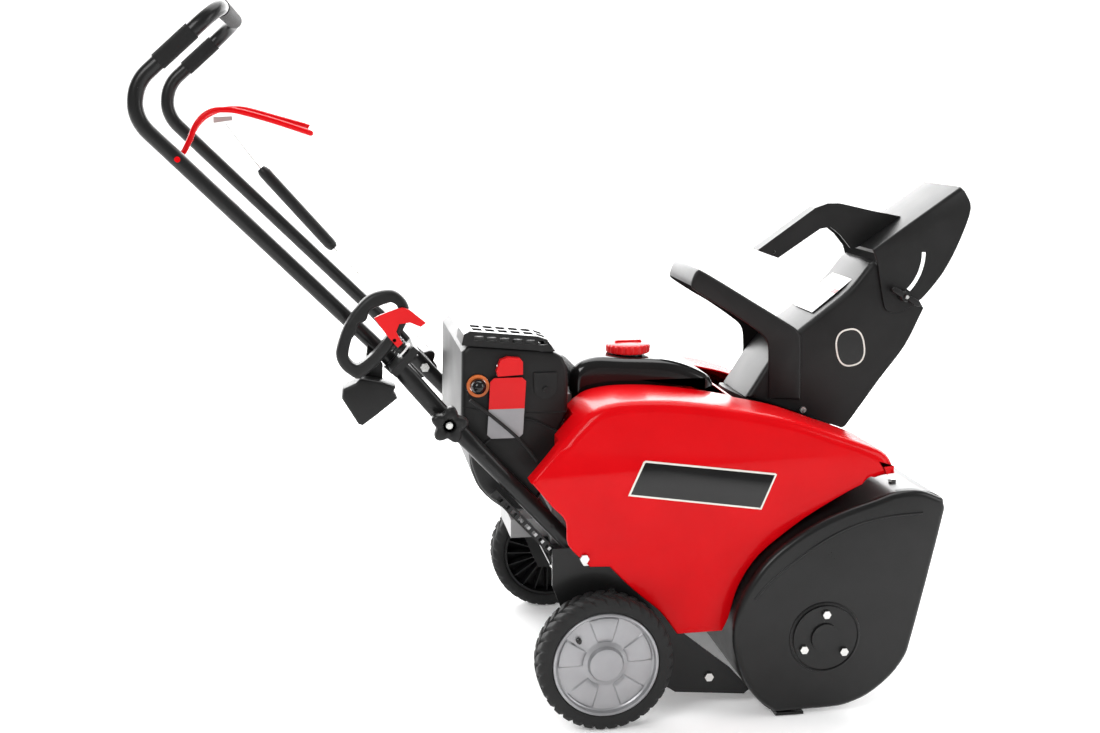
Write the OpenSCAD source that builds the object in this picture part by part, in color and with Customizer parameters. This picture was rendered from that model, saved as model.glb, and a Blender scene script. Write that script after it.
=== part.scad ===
/* [Wheels] */
// Wheel radius
wheel_r = 101.6; // [90:0.1:125]
// Wheel width
wheel_w = 50; // [40:1:60]
// Half of the width over the wheels
track_half = 298; // [290:1:320]
// Axle radius
axle_r = 6.35; // [5:0.05:8]

/* [Auger housing] */
// Outer face of the right side plate
side_right = 289.6; // [285:0.1:292]
// Outer face of the left side plate
side_left = 265; // [255:1:270]
// Sheet thickness
sheet = 2.5; // [1.5:0.5:4]
// Radius swept by the rubber paddles
paddle_r = 108; // [90:1:112]
// Clearance between the paddles and the back wall
back_gap = 13; // [10:1:16]
// Radius of the auger shaft
shaft_r = 9.5; // [8:0.5:14]

/* [Hood] */
// Half width of the hood
hood_half = 265; // [255:1:275]
// Hood wall thickness
hood_wall = 3; // [2:0.5:5]

/* [Handle] */
// Half spacing of the upper handle tubes
tube_half = 228; // [220:1:230]
// Radius of the handle tube
tube_r = 11.1; // [10:0.1:12]
// Wall of the handle tube
tube_wall = 1.5; // [1:0.5:3]
// Radius of the foam grip
foam_r = 12.4; // [12:0.1:16]

/* [Chute] */
// Half width of the chute
chute_half = 70; // [60:1:76]
// Radius of the turning collar
collar_r = 97; // [90:1:100]
// Forward tilt of the chute axis
chute_tilt = 19; // [10:1:25]

/* [Hidden] */
$fn = 64;
// lengthwise shift that puts the origin in the middle of the whole machine
ox = 6.4;
eps = 0.05;
gap = 0.4;

// auger axis
auger_x = 334;
auger_z = 123;
back_r = paddle_r + back_gap;

// side plate outline, x and z
side_pts = [
  [262, 6], [232, 30], [211, 62], [199, 96], [193, 130], [199, 168], [216, 208],
  [244, 246], [281, 276], [322, 300], [366, 318], [408, 331], [440, 341], [478, 342],
  [513, 329], [517, 310], [469, 93], [454, 66], [438, 48], [417, 31], [396, 19],
  [362, 9], [299, 7]
];

// hood outline, x and z
hood_pts = [
  [-106, 371], [-82, 399], [-49, 439], [-22, 467], [0, 480], [41, 486], [103, 484],
  [175, 474], [240, 461], [293, 448], [356, 425], [400, 409], [434, 392], [450, 361],
  [424, 358], [385, 343], [338, 318], [296, 292], [238, 246], [208, 200], [194, 152],
  [184, 130], [113, 129], [87, 165], [61, 188], [36, 211], [10, 239], [-19, 240],
  [-53, 276], [-57, 312], [-76, 334]
];

// chute seat: centre of the collar's underside
seat_x = 338;
seat_z = 414;
seat_hole = 73;

// handle line, x and z
knob_x = -222;
knob_z = 460;
bend_low = [-619, 871];
bend_top = [-617, 951];
bend_r = 56;
bend_c = [-579.3, 910.7];
top_bar = [-521, 1039];
corner_r = 45;
incline = 42.6;

// tilted axis of the bail, from the right tube to the left tube
bail_right = [-583, -228, 836];
bail_left = [-599, 228, 851];
bail_r = 4;
function bail_axis(y) = bail_right + (y + 228) * [-16, 456, 15] / 456;

// grip neck
grip_y = -280;
grip_c = [-321, grip_y, 605.5];
grip_turn = 42;

// deflector hinge line and slot
hinge_x = 474;
hinge_z = 672;
slot_arc = 83;

// crankshaft
crank_x = 20;
crank_z = 310;
belt_y = 277;
crank_pulley_r = 38;
auger_pulley_r = 95;

module shifted() {
  translate([ox, 0, 0]) children();
}

// polygon in x and z, drawn out from y0 to y1
module slab(pts, y0, y1) {
  translate([0, y1, 0]) rotate([90, 0, 0]) linear_extrude(y1 - y0) polygon(pts);
}

module slab_shape(y0, y1) {
  translate([0, y1, 0]) rotate([90, 0, 0]) linear_extrude(y1 - y0) children();
}

module ycyl(x, z, y0, y1, r) {
  translate([x, y1, z]) rotate([90, 0, 0]) cylinder(h = y1 - y0, r = r);
}

module block(x0, x1, y0, y1, z0, z1) {
  translate([x0, y0, z0]) cube([x1 - x0, y1 - y0, z1 - z0]);
}

function unit(v) = v / norm(v);

// round bar between two points
module bar(p, q, r) {
  d = q - p;
  len = norm(d);
  translate(p)
    rotate([0, acos(d[2] / len), atan2(d[1], d[0])])
      cylinder(h = len, r = r);
}

// flat hexagon head or nut on an axis along y
module hex_head(x, z, y0, y1, r) {
  translate([x, y1, z]) rotate([90, 0, 0]) cylinder(h = y1 - y0, r = r, $fn = 6);
}

module in_seat() {
  translate([seat_x, 0, seat_z]) rotate([0, chute_tilt, 0]) children();
}

// ---------- auger housing ----------

module housing_wall_2d() {
  difference() {
    polygon(side_pts);
    offset(delta = -sheet) polygon(side_pts);
    // the mouth is open from the scraper round the front to the top lip
    polygon([[300, -20], [560, -20], [560, 306], [505, 306], [420, 250], [300, 60]]);
  }
}

module scroll_2d() {
  // curved back behind the paddles
  difference() {
    translate([auger_x, auger_z]) circle(r = back_r + sheet);
    translate([auger_x, auger_z]) circle(r = back_r);
    translate([auger_x - 38, -60]) square([400, 400]);
    translate([0, 222]) square([400, 200]);
  }
}

module auger_housing() {
  color([0.09, 0.09, 0.09]) shifted() difference() {
    union() {
      slab(side_pts, -side_right, -side_right + sheet);
      slab(side_pts, side_left - sheet, side_left);
      slab_shape(-side_right + sheet - eps, side_left - sheet + eps) housing_wall_2d();
      slab_shape(-side_right + sheet - eps, side_left - sheet + eps) scroll_2d();
    }
    // opening up into the discharge neck
    in_seat() translate([0, 0, -170]) cylinder(h = 200, r = seat_hole + 3.2);
    // shaft holes and bolt holes of both bearings
    ycyl(auger_x, auger_z, -320, 320, 15);
    for (a = [90, 206, 322])
      ycyl(auger_x + 37 * cos(a), auger_z + 37 * sin(a), -320, 320, 4.2);
  }
}

module discharge_neck() {
  color([0.09, 0.09, 0.09]) shifted() in_seat() difference() {
    translate([0, 0, -112]) cylinder(h = 112 - gap, r = seat_hole + 3);
    translate([0, 0, -113]) cylinder(h = 115, r = seat_hole);
  }
}

module scraper_bar() {
  color([0.12, 0.12, 0.12]) shifted() difference() {
    slab([[262, 1], [306, 1], [306, 4.8], [296, 5.2], [264, 5.6]], -286, 260);
    for (y = [-220, -80, 60, 200])
      translate([280, y, -5]) cylinder(h = 20, r = 3.4);
  }
}

module bearing_flanges() {
  color([0.07, 0.07, 0.07]) shifted() {
    for (s = [-1, 1]) {
      y0 = s < 0 ? -side_right - 3 - eps : side_left + eps;
      difference() {
        union() {
          ycyl(auger_x, auger_z, y0, y0 + 3, 49);
          if (s < 0) ycyl(auger_x, auger_z, y0 - 4, y0 + eps, 22);
          ycyl(auger_x, auger_z, s < 0 ? y0 + 3 - eps : y0 - 12, s < 0 ? y0 + 15 : y0 + eps, 14.8);
        }
        ycyl(auger_x, auger_z, s < 0 ? -side_right - 3.5 : 200, 300, shaft_r + 0.05);
        for (a = [90, 206, 322])
          ycyl(auger_x + 37 * cos(a), auger_z + 37 * sin(a), -320, 320, 3.3);
      }
    }
  }
}

module flange_bolts() {
  color([0.75, 0.75, 0.77]) shifted() {
    for (a = [90, 206, 322]) {
      x = auger_x + 37 * cos(a);
      z = auger_z + 37 * sin(a);
      hex_head(x, z, -side_right - 8.2, -side_right - 3 - 2 * eps, 6.5);
      ycyl(x, z, -side_right - 3 - 3 * eps, -side_right + 12, 3);
    }
  }
}

// ---------- frame ----------

rail_pts = [
  [-70, 262], [-20, 262], [80, 196], [128, 122], [205, 60], [238, 24], [228, 16],
  [120, 26], [60, 66], [20, 82], [-20, 82], [-34, 110], [-70, 205]
];

module side_rails() {
  color([0.08, 0.08, 0.08]) shifted() difference() {
    union() {
      slab(rail_pts, -232, -229);
      slab(rail_pts, 229, 232);
    }
    ycyl(0, wheel_r, -240, 240, axle_r + 0.3);
    ycyl(172, 48, -240, 240, 4.2);
    ycyl(-20, 241.5, -240, 240, 4.2);
    ycyl(20, 190, -240, 240, 4.2);
  }
}

module engine_deck() {
  color([0.1, 0.1, 0.1]) shifted() difference() {
    union() {
      block(-68, 180, -195, 195, 226, 229);
      block(60, 63, -228.9, 228.9, 120, 226 + eps);
      block(60, 90, -228.9, 228.9, 117, 120 + eps);
      for (s = [-1, 1])
        block(-60, 60, s < 0 ? -228.9 : 195 - eps, s < 0 ? -195 + eps : 228.9, 226, 229);
    }
    for (x = [-40, 40])
      for (y = [-60, 60])
        translate([x, y, 210]) cylinder(h = 30, r = 4.3);
    // notches for the handle tubes
    for (s = [-1, 1])
      block(-31, 18, s < 0 ? -226.5 : 198.5, s < 0 ? -198.5 : 226.5, 220, 235);
  }
}

module axle() {
  color([0.7, 0.7, 0.72]) shifted() ycyl(0, wheel_r, -track_half + 12, track_half - 12, axle_r);
}

module frame_bolts() {
  color([0.75, 0.75, 0.77]) shifted() {
    for (s = [-1, 1]) {
      // rail bolts
      for (p = [[172, 48, 222], [20, 190, 222], [-20, 241.5, 198]]) {
        hex_head(p[0], p[1], s < 0 ? -237.2 : 232 + eps, s < 0 ? -232 - eps : 237.2, 7);
        ycyl(p[0], p[1], s < 0 ? -232 - 2 * eps : p[2], s < 0 ? -p[2] : 232 + 2 * eps, 4);
      }
      // hood side bolts
      hex_head(-28, 256, s < 0 ? -hood_half - 5 : hood_half + eps, s < 0 ? -hood_half - eps : hood_half + 5, 7);
    }
    // top lip bolts
    for (y = [-230, 0, 210])
      translate([455, y, 0]) translate([0, 0, 342.4]) cylinder(h = 5, r = 6.5, $fn = 6);
  }
}

module stay_rods() {
  color([0.75, 0.76, 0.78]) shifted() {
    for (y = [-196, -178]) {
      bar([-62, y, 222], [-8, y, 128], 4);
      ycyl(-8, 128, y - 4, y + 4, 7);
    }
  }
}

// ---------- hood ----------

// platform around the chute, parallel to the collar
well_pts = [
  [225, 438], [450, 360.6], [462, 356.5], [462, 520], [225, 520]
];
well_half = 145;

module hood_shell() {
  difference() {
    slab(hood_pts, -hood_half, hood_half);
    // hollow inside
    slab_shape(-hood_half + hood_wall, hood_half - hood_wall) union() {
      offset(delta = -hood_wall) polygon(hood_pts);
      // open below and in front, where the housing stands
      polygon([[-40, 200], [60, 150], [180, 90], [260, 180], [330, 270], [420, 330], [430, 352],
        [300, 400], [-60, 330]]);
      polygon([[-140, 330], [-60, 260], [-20, 200], [0, 300], [-60, 372], [-98, 376]]);
    }
    // engine and tank stand up through the top
    slab([[-140, 420], [-60, 378], [220, 378], [220, 560], [-140, 560]], -132, 132);
    // rear opening for the engine
    slab([[-140, 300], [-60, 300], [-60, 440], [-140, 440]], -228, 228);
    slab([[-140, 296], [-68, 296], [-48, 384], [-34, 440], [-31, 475], [-140, 475]], -192, 148);
    slab(well_pts, -well_half, well_half);
  }
}

module hood() {
  color([0.8, 0.02, 0.03]) shifted() difference() {
    union() {
      hood_shell();
      // floor of the well
      slab([[222, 439], [449, 361], [448, 358], [222, 436]], -well_half, well_half);
      // side walls of the well
      for (s = [-1, 1]) {
        y0 = s < 0 ? -well_half - 3 : well_half;
        slab([[222, 465], [240, 460], [293, 447], [356, 424], [400, 408], [434, 391], [448, 361], [222, 436]], y0, y0 + 3);
      }
      // rear wall of the well
      slab([[220, 436], [223, 435], [223, 464], [220, 464.6]], -well_half - 3, well_half + 3);
    }
    // hole under the chute seat
    in_seat() translate([0, 0, -60]) cylinder(h = 120, r = seat_hole + 3.6);
    // clearance for the crankshaft
    ycyl(crank_x, crank_z, 200, 300, 14);
    // bolt holes
    ycyl(-28, 256, -300, 300, 3.4);
  }
}

module hood_badges() {
  color([0.06, 0.06, 0.06]) shifted() {
    slab([[36, 349], [59, 399], [66, 401], [258, 372], [238, 321], [231, 319]],
      -hood_half - 1.2, -hood_half - eps);
  }
}

module chute_seat() {
  color([0.8, 0.02, 0.03]) shifted() in_seat() difference() {
    translate([0, 0, -14]) cylinder(h = 14 - gap, r = 89);
    translate([0, 0, -35]) cylinder(h = 36, r = seat_hole + 3.6);
  }
}

// ---------- lower handle ----------

low_top = [-238, 478];
low_end = [-2, 222];
low_y = 212.5;

module tube_at(y, r) {
  bar([low_top[0] + 34, y, low_top[1] - 37], [low_end[0], y, low_end[1]], r);
}

module flat_end(p, q, y0, y1, w) {
  d = q - p;
  len = norm(d);
  translate([p[0], 0, p[1]]) rotate([0, -atan2(d[1], d[0]), 0])
    slab([[0, -w / 2], [len, -w / 2], [len, w / 2], [0, w / 2]], y0, y1);
}

module lower_handle() {
  color([0.08, 0.08, 0.08]) shifted() difference() {
    union() {
      for (s = [-1, 1]) {
        tube_at(s * low_y, 12.7);
        y0 = s < 0 ? -220.6 : 206.4;
        flat_end(low_top - [9, -9.75], [low_top[0] + 36, low_top[1] - 39], y0, y0 + 14.2, 26);
      }
      // cross tube low down between the two sides
      bar([-64, -low_y, 289.2], [-64, low_y, 289.2], 8);
    }
    ycyl(knob_x, knob_z, -300, 300, 4.3);
    ycyl(-146, 378, -300, 300, 3.5);
    ycyl(-100, 328, -300, 300, 3.5);
    ycyl(-20, 241.5, -300, 300, 4.05);
  }
}

// slotted strip under each lower tube
module ladder_strips() {
  color([0.07, 0.07, 0.07]) shifted() {
    for (s = [-1, 1]) {
      y0 = s < 0 ? -219 : 206;
      translate([-150, 0, 353]) rotate([0, 47.3, 0]) difference() {
        slab([[0, -13], [150, -13], [150, -1], [0, -1]], y0, y0 + 13);
        for (i = [0 : 8])
          block(10 + i * 15, 19 + i * 15, y0 - 1, y0 + 14, -10.5, -4);
      }
    }
  }
}

module handle_bolts() {
  color([0.75, 0.75, 0.77]) shifted() {
    for (s = [-1, 1]) {
      ycyl(knob_x, knob_z, s < 0 ? -262 : 203, s < 0 ? -203 : 262, 4);
      hex_head(knob_x, knob_z, s < 0 ? -206.3 + 2 * eps : 199, s < 0 ? -199 : 206.3 - 2 * eps, 8);
    }
  }
}

// ---------- engine ----------

module engine_core() {
  color([0.7, 0.7, 0.72]) shifted() difference() {
    union() {
      block(-50, 90, -100, 120, 229 + eps, 400);
      block(-34, 78, -110, 110, 400 - eps, 470);
      for (i = [0 : 6])
        block(-37, 96, -104, 104, 405 + i * 9, 408.5 + i * 9);
      ycyl(crank_x, crank_z, 120 - eps, 150, 40);
      block(-110, -50 + eps, -70, 70, 232, 262);
    }
    ycyl(crank_x, crank_z, 60, 160, 12.6);
  }
}

cover_pts = [
  [-196, 552], [-186, 561], [-62, 549], [-46, 541], [-39, 522], [-39, 461], [-50, 432],
  [-60, 384], [-74, 342], [-93, 315], [-111, 307], [-141, 316], [-171, 344], [-184, 375],
  [-187, 400], [-199, 414]
];

module engine_cover() {
  color([0.08, 0.08, 0.08]) shifted() difference() {
    slab(cover_pts, -185, 140);
    slab_shape(-182, 150) offset(delta = -3) polygon(cover_pts);
    // openings for the primer and the key
    ycyl(-173, 502, -200, -170, 16.6);
    translate([-128, 0, 524]) slab([[-17, -8], [17, -8], [17, 8], [-17, 8]], -200, -170);
  }
}

module cover_boss() {
  color([0.1, 0.1, 0.1]) shifted() {
    slab_shape(-188.5, -185 - eps) union() {
      translate([-73, 497]) circle(r = 17);
      translate([-90, 497]) square([34, 22]);
    }
    hex_head(-73, 494, -192, -188.5 - eps, 4.5);
  }
}

module muffler() {
  color([0.35, 0.35, 0.36]) shifted() difference() {
    slab([[-182, 565], [-78, 556], [-78, 560], [-86, 565], [-178, 574]], -176, -112);
    ycyl(-120, 565, -180, -170, 3);
  }
}

guard_pts = [[-196, 564], [-192, 578], [-184, 583], [-84, 573], [-70, 568], [-58, 551]];

module muffler_guard() {
  color([0.1, 0.1, 0.1]) shifted() difference() {
    slab([[-196, 562.5], [-193, 578], [-184, 583], [-84, 573], [-70, 568], [-58, 550], [-62, 549.4], [-186, 561.4]], -185, -105);
    // hollow inside
    slab([[-189, 562.5], [-187, 576], [-182, 579.4], [-85, 569.6], [-73, 565], [-63, 550.5], [-100, 548], [-186, 556]], -182, -108);
    // side and top slots
    for (i = [0 : 5]) {
      block(-178 + i * 19, -164 + i * 19, -190, -100, 569.5 - i * 1.9, 575.5 - i * 1.9);
      block(-178 + i * 19, -164 + i * 19, -172, -150, 560, 600);
      block(-178 + i * 19, -164 + i * 19, -141, -119, 560, 600);
    }
  }
}

tank_pts = [
  [-22, 448], [-22, 500], [-8, 518], [20, 526], [60, 524], [120, 520], [160, 510],
  [196, 492], [204, 478], [204, 474], [100, 474], [100, 448]
];

module fuel_tank() {
  color([0.05, 0.05, 0.05]) shifted() difference() {
    slab(tank_pts, -118, 118);
    slab_shape(-115, 115) offset(delta = -3) polygon(tank_pts);
    translate([76, -70, 480]) cylinder(h = 60, r = 24);
    // room for the cylinder head
    block(-52, 101, -112, 112, 400, 473);
  }
}

module filler_neck() {
  color([0.06, 0.06, 0.06]) shifted() translate([76, -70, 0]) difference() {
    union() {
      translate([0, 0, 505]) cylinder(h = 20.2, r = 23.9);
      translate([0, 0, 525]) cylinder(h = 0.6, r = 30);
      translate([0, 0, 525]) cylinder(h = 8, r = 21);
    }
    translate([0, 0, 500]) cylinder(h = 40, r = 18);
  }
}

module fuel_cap() {
  color([0.75, 0.03, 0.03]) shifted() translate([76, -70, 0]) difference() {
    union() {
      translate([0, 0, 526]) cylinder(h = 13, r = 33);
      translate([0, 0, 538.9]) cylinder(h = 3, r = 27);
      for (i = [0 : 23])
        rotate([0, 0, i * 15]) translate([32.5, -2, 526.5]) cube([2.3, 4, 11.5]);
      translate([0, 0, 541.8]) rotate([0, 0, 25]) translate([-22, -4, 0]) cube([44, 8, 3.4]);
    }
    translate([0, 0, 525]) cylinder(h = 10, r = 21.4);
  }
}

module primer_ring() {
  color([0.85, 0.3, 0.08]) shifted() difference() {
    ycyl(-173, 502, -190, -182, 16.5);
    ycyl(-173, 502, -191, -181, 12);
  }
}

module primer_bulb() {
  color([0.04, 0.04, 0.04]) shifted() difference() {
    union() {
      ycyl(-173, 502, -194, -184, 11.6);
      intersection() {
        translate([-173, -193, 502]) sphere(r = 11.6);
        ycyl(-173, 502, -206, -193, 13);
      }
    }
    ycyl(-173, 502, -192, -183, 9.4);
  }
}

module engine_key() {
  color([0.8, 0.03, 0.03]) shifted() {
    slab([[-145, 517], [-147, 524], [-141, 541], [-130, 545], [-112, 543], [-108, 538], [-108, 519]],
      -199, -186);
    block(-141, -115, -186 - eps, -160, 519, 529);
  }
}

module instruction_tag() {
  color([0.8, 0.8, 0.78]) shifted() {
    slab([[-161, 430], [-155, 424], [-114, 424], [-108, 430], [-103, 509], [-109, 514.5], [-150, 514.5], [-156, 509]],
      -196.5, -195.9);
    // cable tie loop that hangs the tag from the key's housing
    slab([[-100, 470], [-96, 470], [-96, 496], [-100, 496]], -188, -185.2);
  }
}

// ---------- belt drive ----------

module belt_loop_2d(extra) {
  hull() {
    translate([crank_x, crank_z]) circle(r = crank_pulley_r + extra);
    translate([auger_x, auger_z]) circle(r = auger_pulley_r + extra);
  }
}

module drive_belt() {
  color([0.05, 0.05, 0.05]) shifted() slab_shape(belt_y - 4.5, belt_y + 4.5) difference() {
    belt_loop_2d(5);
    belt_loop_2d(0.5);
  }
}

module belt_cover() {
  color([0.09, 0.09, 0.09]) shifted() {
    difference() {
      slab_shape(side_left + 0.2, side_right) belt_loop_2d(16);
      slab_shape(side_left, side_right - 2.5) belt_loop_2d(13.5);
    }
    // stud for the idler arm
    ycyl(120, 236, 266, side_right - 2.4, 5);
  }
}

module auger_pulley() {
  color([0.5, 0.5, 0.52]) shifted() difference() {
    union() {
      ycyl(auger_x, auger_z, belt_y - 5.5, belt_y + 5.5, auger_pulley_r);
      ycyl(auger_x, auger_z, belt_y - 8, belt_y + 8, 20);
    }
    ycyl(auger_x, auger_z, belt_y - 20, belt_y + 20, shaft_r);
    for (a = [0 : 60 : 300])
      ycyl(auger_x + 57 * cos(a), auger_z + 57 * sin(a), belt_y - 20, belt_y + 20, 16);
  }
}

module crank_pulley() {
  color([0.5, 0.5, 0.52]) shifted() {
    ycyl(crank_x, crank_z, belt_y - 5.5, belt_y + 5.5, crank_pulley_r);
    ycyl(crank_x, crank_z, 80, belt_y + 8, 12.55);
  }
}

module idler_arm() {
  color([0.45, 0.45, 0.47]) shifted() difference() {
    union() {
      slab_shape(266.5, 269.5) hull() {
        translate([120, 236]) circle(r = 11);
        translate([170, 268]) circle(r = 9);
      }
      ycyl(170, 268, 269.4, 284, 5);
    }
    ycyl(120, 236, 260, 275, 5.05);
  }
}

module idler_pulley() {
  color([0.4, 0.4, 0.42]) shifted() difference() {
    ycyl(170, 268, belt_y - 6, belt_y + 6, 16);
    ycyl(170, 268, belt_y - 8, belt_y + 8, 5);
  }
}

// ---------- wheels ----------

module tyre(s) {
  y0 = s < 0 ? -track_half : track_half - wheel_w;
  translate([0, y0 + wheel_w, wheel_r]) rotate([90, 0, 0]) rotate_extrude()
    polygon([
      [79, 4], [83, 0.6], [94, 0], [98.5, 2], [wheel_r, 8], [wheel_r, wheel_w - 8],
      [98.5, wheel_w - 2], [94, wheel_w], [83, wheel_w - 0.6], [79, wheel_w - 4]
    ]);
}

module wheel_disc(s) {
  // outer face towards the outside of the machine
  translate([0, s * (track_half - wheel_w / 2), wheel_r]) rotate([s < 0 ? 90 : -90, 0, 0]) difference() {
    union() {
      difference() {
        translate([0, 0, -21]) cylinder(h = 42, r = 78.95);
        translate([0, 0, 14]) cylinder(h = 10, r = 73);
        translate([0, 0, -22]) cylinder(h = 30, r = 74);
      }
      translate([0, 0, -22]) cylinder(h = 46, r = 22);
      translate([0, 0, 20]) cylinder(h = 4.5, r = 26);
      // alternate raised sectors
      for (i = [0 : 4])
        rotate([0, 0, i * 72 + 8]) translate([0, 0, 14 - eps]) linear_extrude(3.5)
          intersection() {
            difference() {
              circle(r = 70);
              circle(r = 34);
            }
            polygon([[0, 0], [90, 0], [90 * cos(18), 90 * sin(18)], [90 * cos(36), 90 * sin(36)]]);
          }
      // ribs on the inner side
      for (i = [0 : 19])
        rotate([0, 0, i * 18]) translate([21, -1, -18]) cube([54, 2, 27]);
    }
    translate([0, 0, -30]) cylinder(h = 30 + 14, r = axle_r + 0.05);
  }
}

module tyre_right() {
  color([0.06, 0.06, 0.06]) shifted() tyre(-1);
}

module tyre_left() {
  color([0.06, 0.06, 0.06]) shifted() tyre(1);
}

module wheel_disc_right() {
  color([0.6, 0.6, 0.61]) shifted() wheel_disc(-1);
}

module wheel_disc_left() {
  color([0.6, 0.6, 0.61]) shifted() wheel_disc(1);
}

// ---------- auger ----------

module auger_shaft() {
  color([0.6, 0.6, 0.62]) shifted() difference() {
    union() {
      ycyl(auger_x, auger_z, -side_right - 3.2, belt_y + 9, shaft_r);
      ycyl(auger_x, auger_z, -268, 240, 16);
    }
    ycyl(auger_x, auger_z, -side_right - 4, -side_right + 10, 3);
  }
}

blade_tilt = 20;

// flat rubber blade across the shaft, with its outer edge on the swept circle
module blade(s, start) {
  edge = [for (y = [-112 : 14 : 112])
    [sqrt(pow(paddle_r - 2, 2) - pow(abs(y) * sin(blade_tilt) + 4, 2)), y]];
  translate([0, s * 122 - 12, 0]) rotate([0, start, 0]) rotate([s * blade_tilt, 0, 0])
    translate([0, 0, -4]) linear_extrude(8) polygon(concat([[12, 112], [12, -112]], edge));
}

module auger_paddles() {
  color([0.12, 0.12, 0.12]) shifted() translate([auger_x, 0, auger_z]) difference() {
    union() {
      for (s = [-1, 1])
        for (a = [25, 205])
          blade(s, a + s * 12);
      rotate([90, 0, 0]) translate([0, 0, -190]) cylinder(h = 400, r = 24);
    }
    rotate([90, 0, 0]) translate([0, 0, -300]) cylinder(h = 600, r = 16);
  }
}

// ---------- chute ----------

module chute_collar() {
  color([0.06, 0.06, 0.06]) shifted() in_seat() difference() {
    union() {
      translate([0, 0, gap]) cylinder(h = 7, r = collar_r);
      translate([0, 0, gap]) cylinder(h = 7.9, r = 79);
    }
    translate([0, 0, -1]) cylinder(h = 30, r = 71);
  }
}

chute_pts = [
  [270, 446.5], [431, 391], [438, 395], [493, 471], [533, 524], [562, 584], [548, 604],
  [478, 662], [470, 657], [437, 617], [388, 578], [340, 541], [308, 505], [284, 468]
];

chute_back = [
  [270, 446.5], [284, 468], [308, 505], [340, 541], [388, 578], [437, 617], [470, 657], [478, 662],
  [480, 658.5], [473, 654], [439.5, 613.5], [390, 575], [342.5, 538], [310.6, 503], [287, 466.5], [274, 445]
];

module chute_body() {
  color([0.06, 0.06, 0.06]) shifted() difference() {
    union() {
      for (s = [-1, 1]) {
        y0 = s < 0 ? -chute_half : chute_half - 3;
        slab(chute_pts, y0, y0 + 3);
      }
      slab(chute_back, -chute_half + 3 - eps, chute_half - 3 + eps);
      // front wall at the foot
      slab([[431, 391], [438, 395], [474, 445], [471.5, 446.5], [434, 396], [428, 393]],
        -chute_half + 3 - eps, chute_half - 3 + eps);
    }
    ycyl(hinge_x + slot_arc * cos(-53), hinge_z + slot_arc * sin(-53), -100, 100, 3.2);
    ycyl(364, 424, -100, -60, 2.6);
    ycyl(364, 424, 60, 100, 2.6);
  }
}

handle_out = [
  [178, 624], [176, 632], [182, 648], [190, 653], [272, 604], [339, 563], [352, 553],
  [358, 540], [360, 440], [306, 444], [304, 523], [299, 541], [282, 556], [243, 583], [211, 602]
];

handle_hollow = [
  [170, 620], [181, 645], [190.5, 649], [270, 601], [337, 560], [349, 551], [354.5, 540],
  [356, 420], [300, 420], [296, 530], [275, 548], [243, 572], [200, 596]
];

module chute_handle() {
  color([0.07, 0.07, 0.07]) shifted() difference() {
    union() {
      slab(handle_out, -chute_half - 3.4, -chute_half - eps);
      slab(handle_out, chute_half + eps, chute_half + 3.4);
      // top web and end wall between the two cheeks
      difference() {
        slab([[176, 632], [182, 648], [190, 653], [272, 604], [330, 568.5], [326, 565.5], [270, 600],
          [190.5, 648.5], [185, 645], [179.5, 632], [182, 626], [178, 624]],
          -chute_half - 3, chute_half + 3);
      }
    }
    ycyl(364, 424, -100, 100, 2.6);
  }
}

module deflector_bolts() {
  color([0.75, 0.75, 0.77]) shifted() {
    x = hinge_x + slot_arc * cos(-53);
    z = hinge_z + slot_arc * sin(-53);
    for (s = [-1, 1]) {
      ycyl(x, z, s < 0 ? -94 : 62, s < 0 ? -62 : 84, 3);
      ycyl(x, z, s < 0 ? -chute_half + 3 + eps : 62, s < 0 ? -62 : chute_half - 3 - eps, 8);
      if (s > 0) hex_head(x, z, 78.2, 83, 6.5);
      // lower bolts into the collar
      hex_head(364, 424, s < 0 ? -chute_half - 4.6 : chute_half + eps, s < 0 ? -chute_half - eps : chute_half + 4.6, 5.5);
    }
  }
}

deflector_pts = [
  [614, 778], [621, 771], [633, 744], [617, 693], [594, 646], [570, 614], [551, 595],
  [529, 582], [512, 578], [497, 583], [491, 599], [486, 623], [479, 660], [471, 680]
];

deflector_back = [
  [471, 680], [614, 778], [617.5, 774.5], [476, 676.5], [473, 677]
];

module deflector() {
  color([0.06, 0.06, 0.06]) shifted() difference() {
    union() {
      for (s = [-1, 1]) {
        y0 = s < 0 ? -chute_half - 6.6 : chute_half + 3.6;
        slab(deflector_pts, y0 + (s < 0 ? 2.2 : -2.2), y0 + (s < 0 ? 2.2 : -2.2) + 3);
      }
      slab(deflector_back, -chute_half - 3, chute_half + 3);
    }
    // curved slots
    slab_shape(-100, 100) translate([hinge_x, hinge_z]) {
      intersection() {
        difference() {
          circle(r = slot_arc + 3.6);
          circle(r = slot_arc - 3.6);
        }
        polygon([[0, 0], [120 * cos(2), 120 * sin(2)], [130 * cos(-27), 130 * sin(-27)], [120 * cos(-56), 120 * sin(-56)]]);
      }
      for (a = [2, -56])
        translate([slot_arc * cos(a), slot_arc * sin(a)]) circle(r = 3.6);
    }
  }
}

module deflector_handle() {
  color([0.07, 0.07, 0.07]) shifted() difference() {
    slab([
      [299, 676], [334, 663], [370, 687], [403, 709], [420, 712], [437, 699], [455, 677.5],
      [466, 677.5], [533, 723.3], [539, 727.5], [487, 738], [435, 750], [415, 750], [394, 743]
    ], -16, 16);
    // hollow underside
    slab([
      [305, 666], [330, 655], [372, 684], [404, 706], [422, 709], [441, 694], [457, 672],
      [470, 672], [515, 711], [518, 724], [486, 733.5], [434, 745.5], [416, 745.5], [396, 739]
    ], -12.8, 12.8);
    ycyl(327, 673, -30, 30, 2.5);
  }
}

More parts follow.
